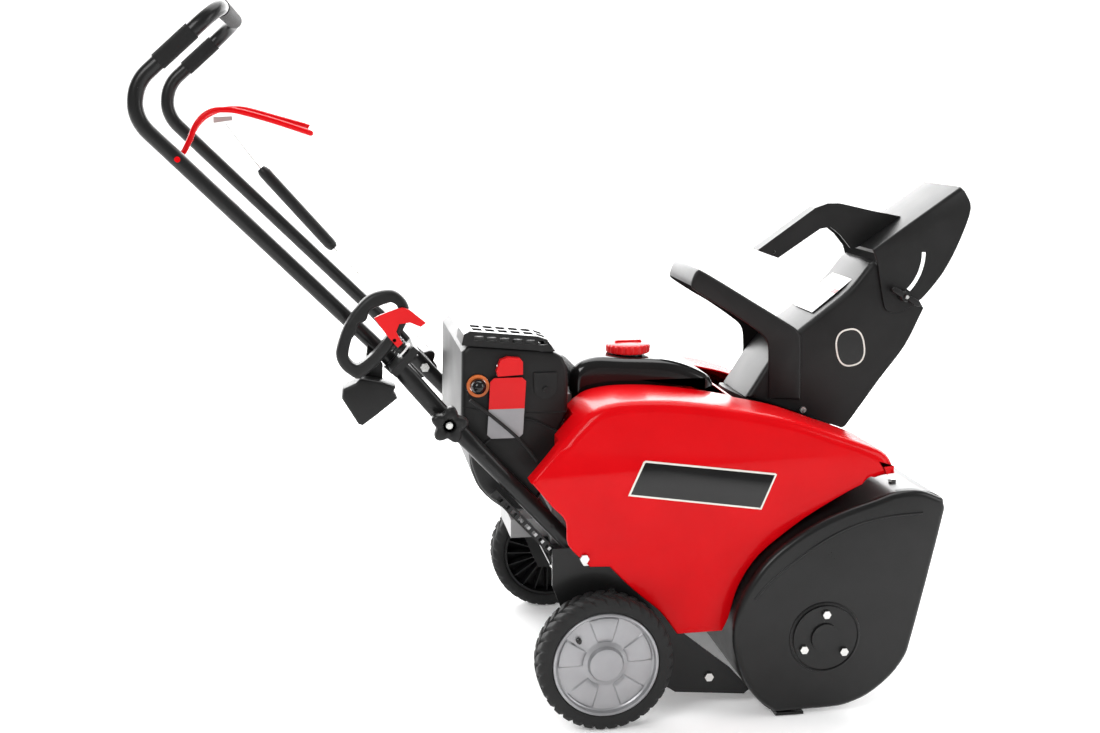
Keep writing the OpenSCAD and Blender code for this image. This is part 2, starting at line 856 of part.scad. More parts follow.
module wing_knob() {
  color([0.07, 0.07, 0.07]) shifted()
    translate([hinge_x + slot_arc * cos(-53), 0, hinge_z + slot_arc * sin(-53)])
      difference() {
        union() {
          ycyl(0, 0, -88, -chute_half - 7.8, 9);
          rotate([0, 30, 0]) {
            translate([-28, -92, -4]) cube([20, 12, 8]);
            translate([8, -92, -4]) cube([20, 12, 8]);
          }
        }
        ycyl(0, 0, -100, -60, 3.05);
      }
}

// ---------- upper handle ----------

bar_end = [top_bar[0] - corner_r * cos(incline), top_bar[1] - corner_r * sin(incline)];

// half of the handle's centre line, from the lower end up to the cross bar
function half_line(s) = concat(
  [[-282, s * tube_half, 533]],
  [
    for (i = [0 : 7])
      let (a = 225 - i * 92.4 / 7)
        [bend_c[0] + bend_r * cos(a), s * tube_half, bend_c[1] + bend_r * sin(a)]
  ],
  [
    for (i = [0 : 6])
      let (a = i * 15, t = corner_r * sin(a))
        [bar_end[0] + t * cos(incline), s * (tube_half - corner_r * (1 - cos(a))), bar_end[1] + t * sin(incline)]
  ]
);

function reversed(v) = [for (i = [len(v) - 1 : -1 : 0]) v[i]];

// hollow tube along a line of points, as one closed solid
module tube_along(pts, r, inner, sides = 14) {
  n = len(pts);
  rings = [
    for (q = [r, inner]) for (i = [0 : n - 1])
      let (
        d = rod_dir(pts, i),
        side = abs(d[1]) < 0.02
          ? [0, pts[i][1] < 0 ? 1 : -1, 0]
          : unit(cross([-sin(incline), 0, cos(incline)], d)),
        up = cross(d, side)
      )
        [for (k = [0 : sides - 1])
          pts[i] + q * (side * cos(360 * k / sides) + up * sin(360 * k / sides))]
  ];
  m = n * sides;
  polyhedron(
    points = [for (ring = rings) for (p = ring) p],
    faces = concat(
      [
        for (i = [0 : n - 2]) for (k = [0 : sides - 1]) let (j = (k + 1) % sides)
          [i * sides + k, (i + 1) * sides + k, (i + 1) * sides + j]
      ],
      [
        for (i = [0 : n - 2]) for (k = [0 : sides - 1]) let (j = (k + 1) % sides)
          [i * sides + k, (i + 1) * sides + j, i * sides + j]
      ],
      [
        for (i = [0 : n - 2]) for (k = [0 : sides - 1]) let (j = (k + 1) % sides)
          [m + i * sides + k, m + (i + 1) * sides + j, m + (i + 1) * sides + k]
      ],
      [
        for (i = [0 : n - 2]) for (k = [0 : sides - 1]) let (j = (k + 1) % sides)
          [m + i * sides + k, m + i * sides + j, m + (i + 1) * sides + j]
      ],
      [for (k = [0 : sides - 1]) let (j = (k + 1) % sides) [k, j, m + j, m + k]],
      [
        for (k = [0 : sides - 1]) let (j = (k + 1) % sides, e = (n - 1) * sides)
          [e + k, m + e + k, m + e + j, e + j]
      ]
    )
  );
}

module upper_handle() {
  color([0.07, 0.07, 0.07]) shifted() difference() {
    union() {
      tube_along(concat(half_line(-1), reversed(half_line(1))), tube_r, tube_r - tube_wall);
      for (s = [-1, 1]) {
        y0 = s < 0 ? -235 : 221;
        flat_end([-289, 540], [knob_x + 6, knob_z - 7], y0, y0 + 14, 27);
      }
    }
    // holes for the knob bolts, the spare height holes and the bail
    ycyl(knob_x, knob_z, -300, 300, 4.3);
    ycyl(-476, 726, -300, 300, 3.4);
    bar(bail_axis(-268), bail_axis(268), bail_r + 0.35);
  }
}

module foam_sleeve(p, q) {
  d = unit(q - p);
  difference() {
    bar(p, q, foam_r);
    bar(p - d, q + d, tube_r);
  }
}

module foam_grip() {
  color([0.05, 0.05, 0.05]) shifted() {
    for (s = [-1, 1]) {
      y = s * tube_half;
      foam_sleeve([-603.3, y, 964.35], [-556.6, y, 1006.2]);
    }
    foam_sleeve([top_bar[0], -tube_half + corner_r + 1, top_bar[1]], [top_bar[0], tube_half - corner_r - 1, top_bar[1]]);
  }
}

console_pts = [
  [-372, 505], [-370, 519], [-352, 527], [-346, 534], [-318, 528], [-297, 519], [-301, 512],
  [-295, 503], [-326, 479], [-344, 466], [-350, 468]
];

module console_box() {
  color([0.08, 0.08, 0.08]) shifted() {
    difference() {
      slab(console_pts, -268, -226);
      slab([[-364, 506], [-361, 515], [-345, 526], [-320, 521], [-306, 516], [-309, 511], [-304, 504], [-327, 486], [-345, 474]], -264, -230);
    }
    // saddle that hangs the box from the tube
    difference() {
      slab([[-340, 531], [-314, 524], [-313, 547], [-334, 575]], -236, -226);
      bar([bend_low[0], -tube_half, bend_low[1]], [-282, -tube_half, 533], tube_r);
      slab(console_pts, -268, -226);
      flat_end([-289 + 14, 524], [knob_x + 6, knob_z - 7], -235, -221, 27);
    }
  }
}

module grip_bracket() {
  color([0.1, 0.1, 0.1]) shifted() difference() {
    union() {
      // clamp around the tube
      bar([-302, -tube_half, 553], [-291, -tube_half, 542], 15);
      // arm out to the neck
      translate(grip_c) rotate([0, grip_turn, 0])
        slab([[51, -34], [62, -34], [62, 14], [51, 14]], -17, 54);
    }
    bar([bend_low[0], -tube_half, bend_low[1]], [-282, -tube_half, 533], tube_r);
    translate(grip_c) rotate([0, grip_turn + 90, 0]) cylinder(h = 120, r = 8.05);
  }
}

grip_pts = [
  [-22, -62], [-35, -35], [-40, -16], [-42, 12], [-37, 34], [-21, 53], [-3, 56],
  [13, 50], [24, 32], [31, 2], [33, -31], [27, -68], [10, -74], [-8, -72]
];

grip_hole = [
  [-8, -56], [-20, -36], [-22, -24], [-27, -12], [-23, -1], [-28, 12], [-23, 24], [-13, 41],
  [-2, 44], [6, 39], [13, 26], [18, 2], [19, -31], [14, -56], [4, -60]
];

module control_grip() {
  color([0.06, 0.06, 0.06]) shifted() translate(grip_c) rotate([0, grip_turn, 0]) {
    difference() {
      union() {
        slab_shape(-7, 7) offset(r = 6) offset(delta = -6) polygon(grip_pts);
        slab_shape(-12, 12) difference() {
          offset(delta = -2.5) offset(r = 6) offset(delta = -6) polygon(grip_pts);
          translate([31, 0]) square([20, 200], center = true);
        }
      }
      slab_shape(-20, 20) offset(r = -3) offset(delta = 3) polygon(grip_hole);
    }
    // pivot pin of the trigger
    ycyl(26, 3.5, -17.5, -6, 2.6);
    // ribbed neck and spindle
    rotate([0, 90, 0]) {
      translate([0, 0, 30]) cylinder(h = 4, r = 12);
      for (i = [0 : 2])
        translate([0, 0, 33.9 + i * 4]) cylinder(h = 2.6, r = 12 - i);
      translate([0, 0, 28]) cylinder(h = 39, r = 8);
    }
  }
}

module trigger() {
  color([0.85, 0.06, 0.05]) shifted() translate(grip_c) rotate([0, grip_turn, 0]) difference() {
    slab([[-15, 9], [-12, 17], [-2, 36], [5, 45], [14, 49], [43, 50], [41, 41], [26, 36], [16, 25],
      [20, 14], [37, 8], [36, -1], [14, 2]], -18, -12.4);
    ycyl(26, 3.5, -20, -10, 2.65);
  }
}

module clutch_wire() {
  color([0.4, 0.4, 0.42]) shifted() {
    bar([-530.4, 0, 879.3], [-480, 0, 810], 1.2);
    bar([-375, 0, 690], [-232, 0, 530], 1.2);
  }
}

module spring_cover() {
  color([0.06, 0.06, 0.06]) shifted() difference() {
    bar([-481, 0, 812], [-374, 0, 689], 9.5);
    bar([-490, 0, 822.3], [-370, 0, 684.4], 3);
  }
}

module control_cable() {
  color([0.06, 0.06, 0.06]) shifted()
    rod([[-186, -200, 484], [-150, -200, 455], [-118, -200, 426], [-100, -200, 405], [-88, -200, 388]], 2.5, 8);
}

// ---------- bail ----------

right_leg = [
  [-575, -196, 838], [-572, -196, 848], [-567, -196, 864], [-560, -196, 880], [-549, -196, 893],
  [-535, -196, 900], [-518, -196, 901], [-499, -196, 898.5], [-455, -196, 886], [-412, -196, 872]
];
left_leg = [
  [-407, 194, 870], [-455, 196, 884], [-499, 196, 896.5], [-520, 196, 900], [-543, 196, 899],
  [-562, 196, 893], [-578, 196, 883], [-589, 196, 870], [-594, 196, 858], [-596, 196, 850]
];

function rod_dir(pts, i) =
  unit(unit(pts[min(i + 1, len(pts) - 1)] - pts[max(i, 0)] + (i == len(pts) - 1 ? pts[i] - pts[i - 1] : [0, 0, 0]))
    + unit(pts[i] - pts[max(i - 1, 0)] + (i == 0 ? pts[1] - pts[0] : [0, 0, 0])));

// round rod along a line of points, as one closed solid
module rod(pts, r, sides = 10) {
  n = len(pts);
  rings = [
    for (i = [0 : n - 1])
      let (
        d = rod_dir(pts, i),
        side = unit(cross(d, abs(d[1]) > 0.7 ? [0.6, 0, 0.8] : [0, 1, 0])),
        up = cross(d, side)
      )
        [for (k = [0 : sides - 1])
          pts[i] + r * (side * cos(360 * k / sides) + up * sin(360 * k / sides))]
  ];
  polyhedron(
    points = [for (ring = rings) for (p = ring) p],
    faces = concat(
      [[for (k = [0 : sides - 1]) k]],
      [[for (k = [0 : sides - 1]) (n - 1) * sides + sides - 1 - k]],
      [
        for (i = [0 : n - 2]) for (k = [0 : sides - 1])
          [i * sides + k, (i + 1) * sides + k, (i + 1) * sides + (k + 1) % sides]
      ],
      [
        for (i = [0 : n - 2]) for (k = [0 : sides - 1])
          [i * sides + k, (i + 1) * sides + (k + 1) % sides, i * sides + (k + 1) % sides]
      ]
    )
  );
}

bail_line = concat(
  [bail_axis(-241.5), bail_axis(-207), bail_axis(-199) + [3, 0, 2]],
  [for (i = [1 : 9]) right_leg[i]],
  [[-407, -193, 870], [-404, -184, 869], [-404, 184, 868.5], [-406, 192, 869.5]],
  [for (i = [1 : 9]) left_leg[i]],
  [bail_axis(199) + [0.4, 0, 2.4], bail_axis(207), bail_axis(241.5)]
);

module bail_rod() {
  color([0.8, 0.03, 0.05]) shifted() rod(bail_line, bail_r);
}

module bail_tab() {
  color([0.5, 0.5, 0.52]) shifted() slab([[-548, 880], [-520, 884], [-520, 890], [-548, 889]], -2, 2);
}

// ---------- knobs ----------

module star_shape(r) {
  union() {
    circle(r = r * 0.72);
    for (i = [0 : 4])
      rotate(i * 72 + 15) translate([r * 0.68, 0]) circle(r = r * 0.34);
  }
}

module star_knob(s) {
  y0 = s < 0 ? -262 : 236.2;
  difference() {
    union() {
      translate([knob_x, 0, knob_z]) slab_shape(s < 0 ? -264 : 246, s < 0 ? -246 : 264) star_shape(27.5);
      ycyl(knob_x, knob_z, s < 0 ? -246.1 : 236, s < 0 ? -236 : 246.1, 13);
    }
    ycyl(knob_x, knob_z, -270, 270, 4.05);
    ycyl(knob_x, knob_z, s < 0 ? -265 : 260, s < 0 ? -260 : 265, 9);
  }
}

module star_knob_right() {
  color([0.08, 0.08, 0.08]) shifted() star_knob(-1);
}

module star_knob_left() {
  color([0.08, 0.08, 0.08]) shifted() star_knob(1);
}

auger_housing();
discharge_neck();
scraper_bar();
side_rails();
engine_deck();
axle();
bearing_flanges();
flange_bolts();
hood();
hood_badges();
frame_bolts();
chute_seat();
lower_handle();
ladder_strips();
handle_bolts();
engine_core();
engine_cover();
cover_boss();
muffler();
muffler_guard();
fuel_tank();
filler_neck();
primer_ring();
instruction_tag();
belt_cover();
drive_belt();
control_cable();
stay_rods();
tyre_right();
wheel_disc_right();
tyre_left();
wheel_disc_left();
auger_shaft();
auger_paddles();
auger_pulley();
crank_pulley();
idler_arm();
idler_pulley();
chute_collar();
chute_body();
chute_handle();
deflector_bolts();
deflector();
deflector_handle();
wing_knob();
upper_handle();
foam_grip();
console_box();
grip_bracket();
clutch_wire();
spring_cover();
bail_rod();
bail_tab();
control_grip();
trigger();
star_knob_right();
star_knob_left();
fuel_cap();
primer_bulb();
engine_key();
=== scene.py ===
# %% [markdown]
# # Single stage snowblower
# The machine is a steel auger housing on two wheels, with an engine under a moulded hood, a turning
# chute and a tube handle. This notebook dresses the CAD frame with the pieces a maker would see.
# Lengths are typed in millimetres from the wheel axle and the ground, and turned into metres once.

import math

import bmesh
import bpy
from mathutils import Matrix, Vector


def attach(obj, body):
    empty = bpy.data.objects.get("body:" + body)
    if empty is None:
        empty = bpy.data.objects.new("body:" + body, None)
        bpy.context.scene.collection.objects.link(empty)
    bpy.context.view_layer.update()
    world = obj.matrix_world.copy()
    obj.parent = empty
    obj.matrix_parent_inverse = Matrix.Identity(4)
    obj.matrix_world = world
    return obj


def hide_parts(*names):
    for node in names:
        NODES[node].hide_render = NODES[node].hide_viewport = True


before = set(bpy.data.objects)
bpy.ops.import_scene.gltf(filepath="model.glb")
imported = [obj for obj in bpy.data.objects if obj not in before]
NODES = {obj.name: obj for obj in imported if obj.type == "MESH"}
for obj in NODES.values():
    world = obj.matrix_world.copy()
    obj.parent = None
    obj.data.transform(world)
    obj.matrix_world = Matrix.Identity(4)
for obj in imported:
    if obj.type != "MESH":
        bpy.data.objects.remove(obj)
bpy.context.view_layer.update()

SHIFT = 6.4
MM = 0.001


def at(x, y, z):
    return Vector(((x + SHIFT) * MM, y * MM, z * MM))


# %% [markdown]
# ## Helpers for shader maths
# A small wrapper lets a finish be written as a formula, so each material reads like a recipe.

# %% Shader helpers


class Val:
    def __init__(self, mat, socket):
        self.mat = mat
        self.socket = socket

    def math(self, op, *others):
        return self.mat.node("ShaderNodeMath", {"operation": op}, [self, *others])

    def __add__(self, o):
        return self.math("ADD", o)

    def __radd__(self, o):
        return self.math("ADD", o)

    def __mul__(self, o):
        return self.math("MULTIPLY", o)

    def __rmul__(self, o):
        return self.math("MULTIPLY", o)

    def __sub__(self, o):
        return self.math("SUBTRACT", o)

    def __rsub__(self, o):
        return self.mat.node("ShaderNodeMath", {"operation": "SUBTRACT"}, [o, self])

    def __truediv__(self, o):
        return self.math("DIVIDE", o)

    def __rtruediv__(self, o):
        return self.mat.node("ShaderNodeMath", {"operation": "DIVIDE"}, [o, self])

    def __pow__(self, o):
        return self.math("POWER", o)

    def clamp(self):
        return self.math("MAXIMUM", 0.0).math("MINIMUM", 1.0)

    def step(self, edge, soft=0.05):
        return ((self - edge) / soft + 0.5).clamp()


class Finish:
    def __init__(self, name):
        self.mat = bpy.data.materials.new(name)
        self.mat.use_nodes = True
        self.tree = self.mat.node_tree
        self.shader = self.tree.nodes["Principled BSDF"]
        coords = self.tree.nodes.new("ShaderNodeTexCoord")
        self.place = Val(self, coords.outputs["Object"])

    def node(self, kind, settings=None, sockets=(), out=0):
        n = self.tree.nodes.new(kind)
        for key, value in (settings or {}).items():
            setattr(n, key, value)
        pairs = sockets.items() if isinstance(sockets, dict) else enumerate(sockets)
        for key, value in pairs:
            if isinstance(value, Val):
                self.tree.links.new(value.socket, n.inputs[key])
            else:
                n.inputs[key].default_value = value
        return Val(self, n.outputs[out])

    def put(self, name, value):
        target = self.shader.inputs[name]
        if isinstance(value, Val):
            self.tree.links.new(value.socket, target)
        else:
            target.default_value = value

    def noise(self, scale, detail=3.0, rough=0.55):
        sockets = {"Vector": self.place, "Scale": scale, "Detail": detail, "Roughness": rough}
        return self.node("ShaderNodeTexNoise", None, sockets)

    def cells(self, scale):
        return self.node("ShaderNodeTexVoronoi", None, {"Vector": self.place, "Scale": scale})

    def mix(self, factor, a, b):
        settings = {"data_type": "RGBA"}
        sockets = {"Factor": factor, 6: (*a, 1.0) if isinstance(a, tuple) else a}
        sockets[7] = (*b, 1.0) if isinstance(b, tuple) else b
        return self.node("ShaderNodeMix", settings, sockets, 2)

    def bump(self, height, strength, distance):
        sockets = {"Strength": strength, "Distance": distance, "Height": height}
        self.put("Normal", self.node("ShaderNodeBump", None, sockets))


def finish(name, dark, light, rough, spread, metal=0.0, coat=0.0, grain=900.0, relief=0.00004,
           strength=0.25, cells=False, shine=0.5):
    """A painted, moulded or plated surface: soft blotches in colour and gloss over a fine relief."""
    f = Finish(name)
    blotch = f.noise(14.0, 4.0)
    fine = f.cells(grain) if cells else f.noise(grain, 2.0)
    f.put("Base Color", f.mix(blotch.step(0.5, 0.5), dark, light))
    f.put("Roughness", (rough + (blotch - 0.5) * spread + (fine - 0.5) * spread * 0.5).clamp())
    f.put("Metallic", metal)
    f.put("Specular IOR Level", shine)
    f.put("Coat Weight", coat)
    f.put("Coat Roughness", 0.06)
    f.bump(fine + f.noise(60.0, 2.0) * 0.6, strength, relief)
    return f.mat


def shade(r, g=None, b=None):
    return (r, r if g is None else g, r if b is None else b)


# %% [markdown]
# ## Finishes
# Powder coated steel is satin with a slight orange peel. Moulded plastic is duller with a fine
# spark-eroded grain. The hood is glossy pigmented plastic, and fasteners are zinc plated.

# %% Finishes
MATS = {
    "coat_black": finish("coat_black", shade(0.006), shade(0.010), 0.30, 0.10, coat=0.06, grain=420.0,
                         relief=0.0002, strength=0.12, shine=0.22),
    "plastic_black": finish("plastic_black", shade(0.006), shade(0.011), 0.40, 0.12, grain=1500.0,
                            relief=0.00006, strength=0.3, shine=0.22),
    "gloss_black": finish("gloss_black", shade(0.004), shade(0.007), 0.16, 0.06, coat=0.15, grain=300.0,
                          strength=0.08, shine=0.3),
    "foam": finish("foam", shade(0.006), shade(0.011), 0.78, 0.14, grain=1100.0, relief=0.0003,
                   strength=0.6, cells=True, shine=0.2),
    "rubber": finish("rubber", shade(0.009), shade(0.016), 0.66, 0.16, grain=800.0, relief=0.0001,
                     strength=0.35, shine=0.25),
    "red_gloss": finish("red_gloss", (0.50, 0.0008, 0.003), (0.56, 0.0014, 0.004), 0.24, 0.06, coat=0.1,
                        grain=220.0, relief=0.0001, strength=0.05, shine=0.07),
    "red_satin": finish("red_satin", (0.52, 0.003, 0.005), (0.60, 0.006, 0.008), 0.34, 0.1, grain=900.0,
                        strength=0.15, shine=0.25),
    "silver": finish("silver", shade(0.27, 0.27, 0.28), shade(0.34, 0.34, 0.35), 0.36, 0.12, metal=0.55,
                     grain=1300.0, relief=0.00005, strength=0.2),
    "zinc": finish("zinc", shade(0.5, 0.5, 0.49), shade(0.64, 0.64, 0.62), 0.28, 0.14, metal=1.0,
                   grain=700.0, strength=0.2),
    "cast": finish("cast", shade(0.25), shade(0.34), 0.55, 0.2, metal=0.7, grain=500.0, relief=0.0004,
                   strength=0.5),
    "off_white": finish("off_white", shade(0.62, 0.61, 0.56), shade(0.70, 0.69, 0.64), 0.4, 0.1),
    "grey_card": finish("grey_card", shade(0.22, 0.22, 0.23), shade(0.30, 0.30, 0.31), 0.6, 0.1),
    "orange": finish("orange", (0.62, 0.12, 0.015), (0.7, 0.16, 0.02), 0.4, 0.1),
    "white": finish("white", shade(0.78), shade(0.84), 0.5, 0.08),
}
print("finishes", len(MATS))

# %% [markdown]
# ## Mesh helpers
# Every piece is made the way its part is: outlines are extruded with rounded shoulders, tubes are
# swept along a bent line, and turned parts are spun about their axis.

# %% Mesh helpers


def piece(name, verts, faces, mat, body, node=None, sharp=38.0, bevel=0.0, replaces=True):
    mesh = bpy.data.meshes.new(name)
    mesh.from_pydata([tuple(v) for v in verts], [], faces)
    work = bmesh.new()
    work.from_mesh(mesh)
    bmesh.ops.remove_doubles(work, verts=work.verts, dist=1e-6)
    bmesh.ops.recalc_face_normals(work, faces=work.faces)
    mark_sharp(work, sharp)
    work.to_mesh(mesh)
    work.free()
    mesh.validate()
    obj = bpy.data.objects.new(name, mesh)
    bpy.context.scene.collection.objects.link(obj)
    mesh.materials.append(MATS[mat])
    if bevel:
        add_bevel(obj, bevel)
    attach(obj, body)
    if node:
        if replaces:
            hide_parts(node)
    return obj


def mark_sharp(work, degrees):
    limit = math.radians(degrees)
    for f in work.faces:
        f.smooth = True
    for e in work.edges:
        faces = e.link_faces
        e.smooth = len(faces) == 2 and faces[0].normal.angle(faces[1].normal, 0.0) < limit


def add_bevel(obj, width, segments=2, angle=32.0):
    mod = obj.modifiers.new("edge", "BEVEL")
    mod.width = width * MM
    mod.segments = segments
    mod.limit_method = "ANGLE"
    mod.angle_limit = math.radians(angle)
    mod.harden_normals = True
    return mod


def area(pts):
    n = len(pts)
    return sum(pts[i][0] * pts[(i + 1) % n][1] - pts[(i + 1) % n][0] * pts[i][1] for i in range(n)) / 2


def inset(pts, amounts):
    """Moves each outline point inwards by its own amount, along the mitre of its two edges."""
    n = len(pts)
    turn = 1 if area(pts) > 0 else -1
    out = []
    for i in range(n):
        a, b, c = (Vector(pts[(i + k) % n]) for k in (-1, 0, 1))
        d1 = (b - a).normalized()
        d2 = (c - b).normalized()
        n1 = Vector((-d1.y, d1.x)) * turn
        n2 = Vector((-d2.y, d2.x)) * turn
        m = n1 + n2
        k = max(m.length_squared / 2, 0.45)
        out.append(tuple(b + m / k * amounts[i]))
    return out


def shoulder_inset(y, y0, y1, r0, r):
    """How far the outline draws in at y, for quarter-round shoulders of radius r0 at y0 and r at y1."""
    low = max(r0 - (y - y0), 0.0)
    high = max(r - (y1 - y), 0.0)
    return r0 - math.sqrt(max(r0 * r0 - low * low, 0.0)) + r - math.sqrt(max(r * r - high * high, 0.0))


def prism_mesh(pts, y0, y1, r=2.0, steps=4, weights=None, r0=None):
    """Outline in x and z, extruded along y, with rounded shoulders of radius r at y1 and r0 at y0."""
    w = weights or [1.0] * len(pts)
    r0 = r if r0 is None else r0
    sines = [math.sin(math.pi / 2 * k / steps) for k in range(steps + 1)]
    levels = [y0 + r0 * (1 - q) for q in reversed(sines)] + [y1 - r * (1 - q) for q in sines]
    n = len(pts)
    verts = []
    for y in levels:
        q = shoulder_inset(y, y0, y1, r0, r)
        verts += [at(x, y, z) for x, z in inset(pts, [q * v for v in w])]
    faces = []
    for k in range(len(levels) - 1):
        for i in range(n):
            j = (i + 1) % n
            faces.append((k * n + i, k * n + j, (k + 1) * n + j, (k + 1) * n + i))
    faces.append(tuple(range(n)))
    faces.append(tuple(range((len(levels) - 1) * n, len(levels) * n)))
    return verts, faces


def spread_weights(count, rounded, low, per=4):
    """Gives the rounded corners the full shoulder and the rest a share of it, blended in between."""
    level = [1.0 if i in rounded else low for i in range(count)]
    out = []
    for i in range(count):
        change = level[(i + 1) % count] - level[i]
        out += [level[i] + change * k / per for k in range(per)]
    return out


def prism(name, pts, y0, y1, mat, body, node=None, r=2.0, steps=4, weights=None, replaces=True,
          sharp=30.0, r0=None):
    verts, faces = prism_mesh(pts, y0, y1, r, steps, weights, r0)
    return piece(name, verts, faces, mat, body, node, sharp, replaces=replaces)


def smooth_line(pts, per=6):
    """Catmull-Rom line through the points."""
    p = [Vector(v) for v in pts]
    p = [p[0] * 2 - p[1], *p, p[-1] * 2 - p[-2]]
    out = []
    for i in range(1, len(p) - 2):
        for k in range(per):
            t = k / per
            a, b, c, d = p[i - 1], p[i], p[i + 1], p[i + 2]
            out.append(0.5 * (2 * b + (c - a) * t + (2 * a - 5 * b + 4 * c - d) * t * t
                              + (3 * b - a - 3 * c + d) * t ** 3))
    out.append(p[-2])
    return out


def smooth_loop(pts, per=4, corner=50.0):
    """Closed outline smoothed through gentle turns, with corners sharper than the limit kept."""
    n = len(pts)
    p = [Vector(v) for v in pts]

    def bend(i):
        a = p[i] - p[i - 1]
        b = p[(i + 1) % n] - p[i]
        return math.degrees(a.angle(b, 0.0)) > corner

    out = []
    for i in range(n):
        b, c = p[i], p[(i + 1) % n]
        m0 = (c - b) if bend(i) else (c - p[i - 1]) / 2
        m1 = (c - b) if bend((i + 1) % n) else (p[(i + 2) % n] - b) / 2
        limit = (c - b).length
        m0 = m0 * min(1.0, limit / max(m0.length, 1e-6))
        m1 = m1 * min(1.0, limit / max(m1.length, 1e-6))
        for k in range(per):
            t = k / per
            h1, h2 = 2 * t ** 3 - 3 * t * t + 1, t ** 3 - 2 * t * t + t
            h3, h4 = -2 * t ** 3 + 3 * t * t, t ** 3 - t * t
            out.append(tuple(b * h1 + m0 * h2 + c * h3 + m1 * h4))
    return out


def sweep_mesh(line, radius, sides=20, shape=None, caps=True):
    """Round or flattened section carried along a line of points in millimetres.
    shape(i) gives (half size across y, half size in the bend's plane) where the tube is pressed."""
    p = [Vector(v) for v in line]
    n = len(p)
    verts = []
    side = None
    for i in range(n):
        d = (p[min(i + 1, n - 1)] - p[max(i - 1, 0)]).normalized()
        if side is None:
            guess = Vector((0, 1, 0)) if abs(d.y) < 0.9 else Vector((0, 0, 1))
            side = (guess - d * guess.dot(d)).normalized()
        else:
            side = (side - d * side.dot(d)).normalized()
        up = d.cross(side)
        a, b = shape(i) if shape else (radius, radius)
        for k in range(sides):
            t = 2 * math.pi * k / sides
            q = p[i] + side * (a * math.cos(t)) + up * (b * math.sin(t))
            verts.append(at(*q))
    faces = []
    for i in range(n - 1):
        for k in range(sides):
            j = (k + 1) % sides
            faces.append((i * sides + k, i * sides + j, (i + 1) * sides + j, (i + 1) * sides + k))
    if caps:
        faces.append(tuple(range(sides)))
        faces.append(tuple(range((n - 1) * sides, n * sides)))
    return verts, faces


def sweep(name, line, radius, mat, body, node=None, sides=20, shape=None, replaces=True):
    verts, faces = sweep_mesh(line, radius, sides, shape)
    return piece(name, verts, faces, mat, body, node, 50.0, replaces=replaces)


def spin_mesh(profile, origin, axis, sides=64, height=None):
    """Spins (radius, distance) points about an axis through origin, in millimetres."""
    a = Vector(axis).normalized()
    u = a.orthogonal().normalized()
    v = a.cross(u)
    o = Vector(origin)
    verts = []
    for k in range(sides):
        t = 2 * math.pi * k / sides
        for i, (r, h) in enumerate(profile):
            rr, hh = height(r, h, t, i) if height else (r, h)
            verts.append(at(*(o + (u * math.cos(t) + v * math.sin(t)) * rr + a * hh)))
    m = len(profile)
    faces = []
    for k in range(sides):
        j = (k + 1) % sides
        for i in range(m - 1):
            faces.append((k * m + i, j * m + i, j * m + i + 1, k * m + i + 1))
    return verts, faces


def spin(name, profile, origin, axis, mat, body, node=None, sides=64, height=None, replaces=True,
         sharp=35.0, closed=False):
    pts = list(profile) + ([profile[0]] if closed else [])
    verts, faces = spin_mesh(pts, origin, axis, sides, height)
    return piece(name, verts, faces, mat, body, node, sharp, replaces=replaces)


def cut(obj, *cutters):
    for c in cutters:
        mod = obj.modifiers.new("cut", "BOOLEAN")
        mod.operation = "DIFFERENCE"
        mod.solver = "EXACT"
        mod.object = c
    bpy.context.view_layer.update()
    graph = bpy.context.evaluated_depsgraph_get()
    done = bpy.data.meshes.new_from_object(obj.evaluated_get(graph))
    obj.modifiers.clear()
    obj.data = done
    work = bmesh.new()
    work.from_mesh(done)
    mark_sharp(work, 30.0)
    work.to_mesh(done)
    work.free()
    for c in cutters:
        bpy.data.objects.remove(c, do_unlink=True)
    return obj


def cutter(verts, faces):
    mesh = bpy.data.meshes.new("cutter")
    mesh.from_pydata([tuple(v) for v in verts], [], faces)
    work = bmesh.new()
    work.from_mesh(mesh)
    bmesh.ops.remove_doubles(work, verts=work.verts, dist=1e-6)
    bmesh.ops.recalc_face_normals(work, faces=work.faces)
    work.to_mesh(mesh)
    work.free()
    obj = bpy.data.objects.new("cutter", mesh)
    bpy.context.scene.collection.objects.link(obj)
    return obj


def slab_cutter(pts, y0, y1):
    return cutter(*prism_mesh(pts, y0, y1, 0.001, 1))


def ring_cutter(origin, axis, r, h0, h1, sides=64):
    return cutter(*spin_mesh([(0, h0), (r, h0), (r, h1), (0, h1)], origin, axis, sides))


def dress(node, mat, bevel=0.6):
    """Keeps a CAD node, softens its edges and gives it a finish."""
    obj = NODES[node]
    obj.data.materials.clear()
    obj.data.materials.append(MATS[mat])
    if bevel:
        add_bevel(obj, bevel, 2)
    return obj


# %% [markdown]
# ## Steelwork kept from the frame
# Flat plates, brackets, bolts and the engine's inner block are already right, so they keep their
# CAD shape. They only get a finish and softened edges, as a deburred pressing has.

# %% Frame parts
KEPT = {
    "coat_black": ["discharge_neck", "side_rails", "engine_deck", "bearing_flanges",
                   "ladder_strips", "belt_cover", "grip_bracket", "muffler_guard", "scraper_bar"],
    "zinc": ["axle", "flange_bolts", "frame_bolts", "handle_bolts", "stay_rods", "deflector_bolts",
             "auger_shaft", "auger_pulley", "crank_pulley", "idler_arm", "idler_pulley", "bail_tab"],
    "plastic_black": ["cover_boss", "chute_collar", "deflector_handle"],
    "cast": ["engine_core", "muffler"],
    "rubber": ["drive_belt", "auger_paddles"],
    "gloss_black": ["filler_neck"],
    "red_gloss": ["chute_seat"],
    "red_satin": ["trigger", "engine_key"],
    "orange": ["primer_ring"],
}
SOFTEN = {
    "belt_cover": 2.5, "deflector_handle": 2.5, "engine_key": 2.0, "trigger": 1.4, "scraper_bar": 0.8,
    "auger_paddles": 1.5,
}
PLAIN_SOFTEN = 0.5
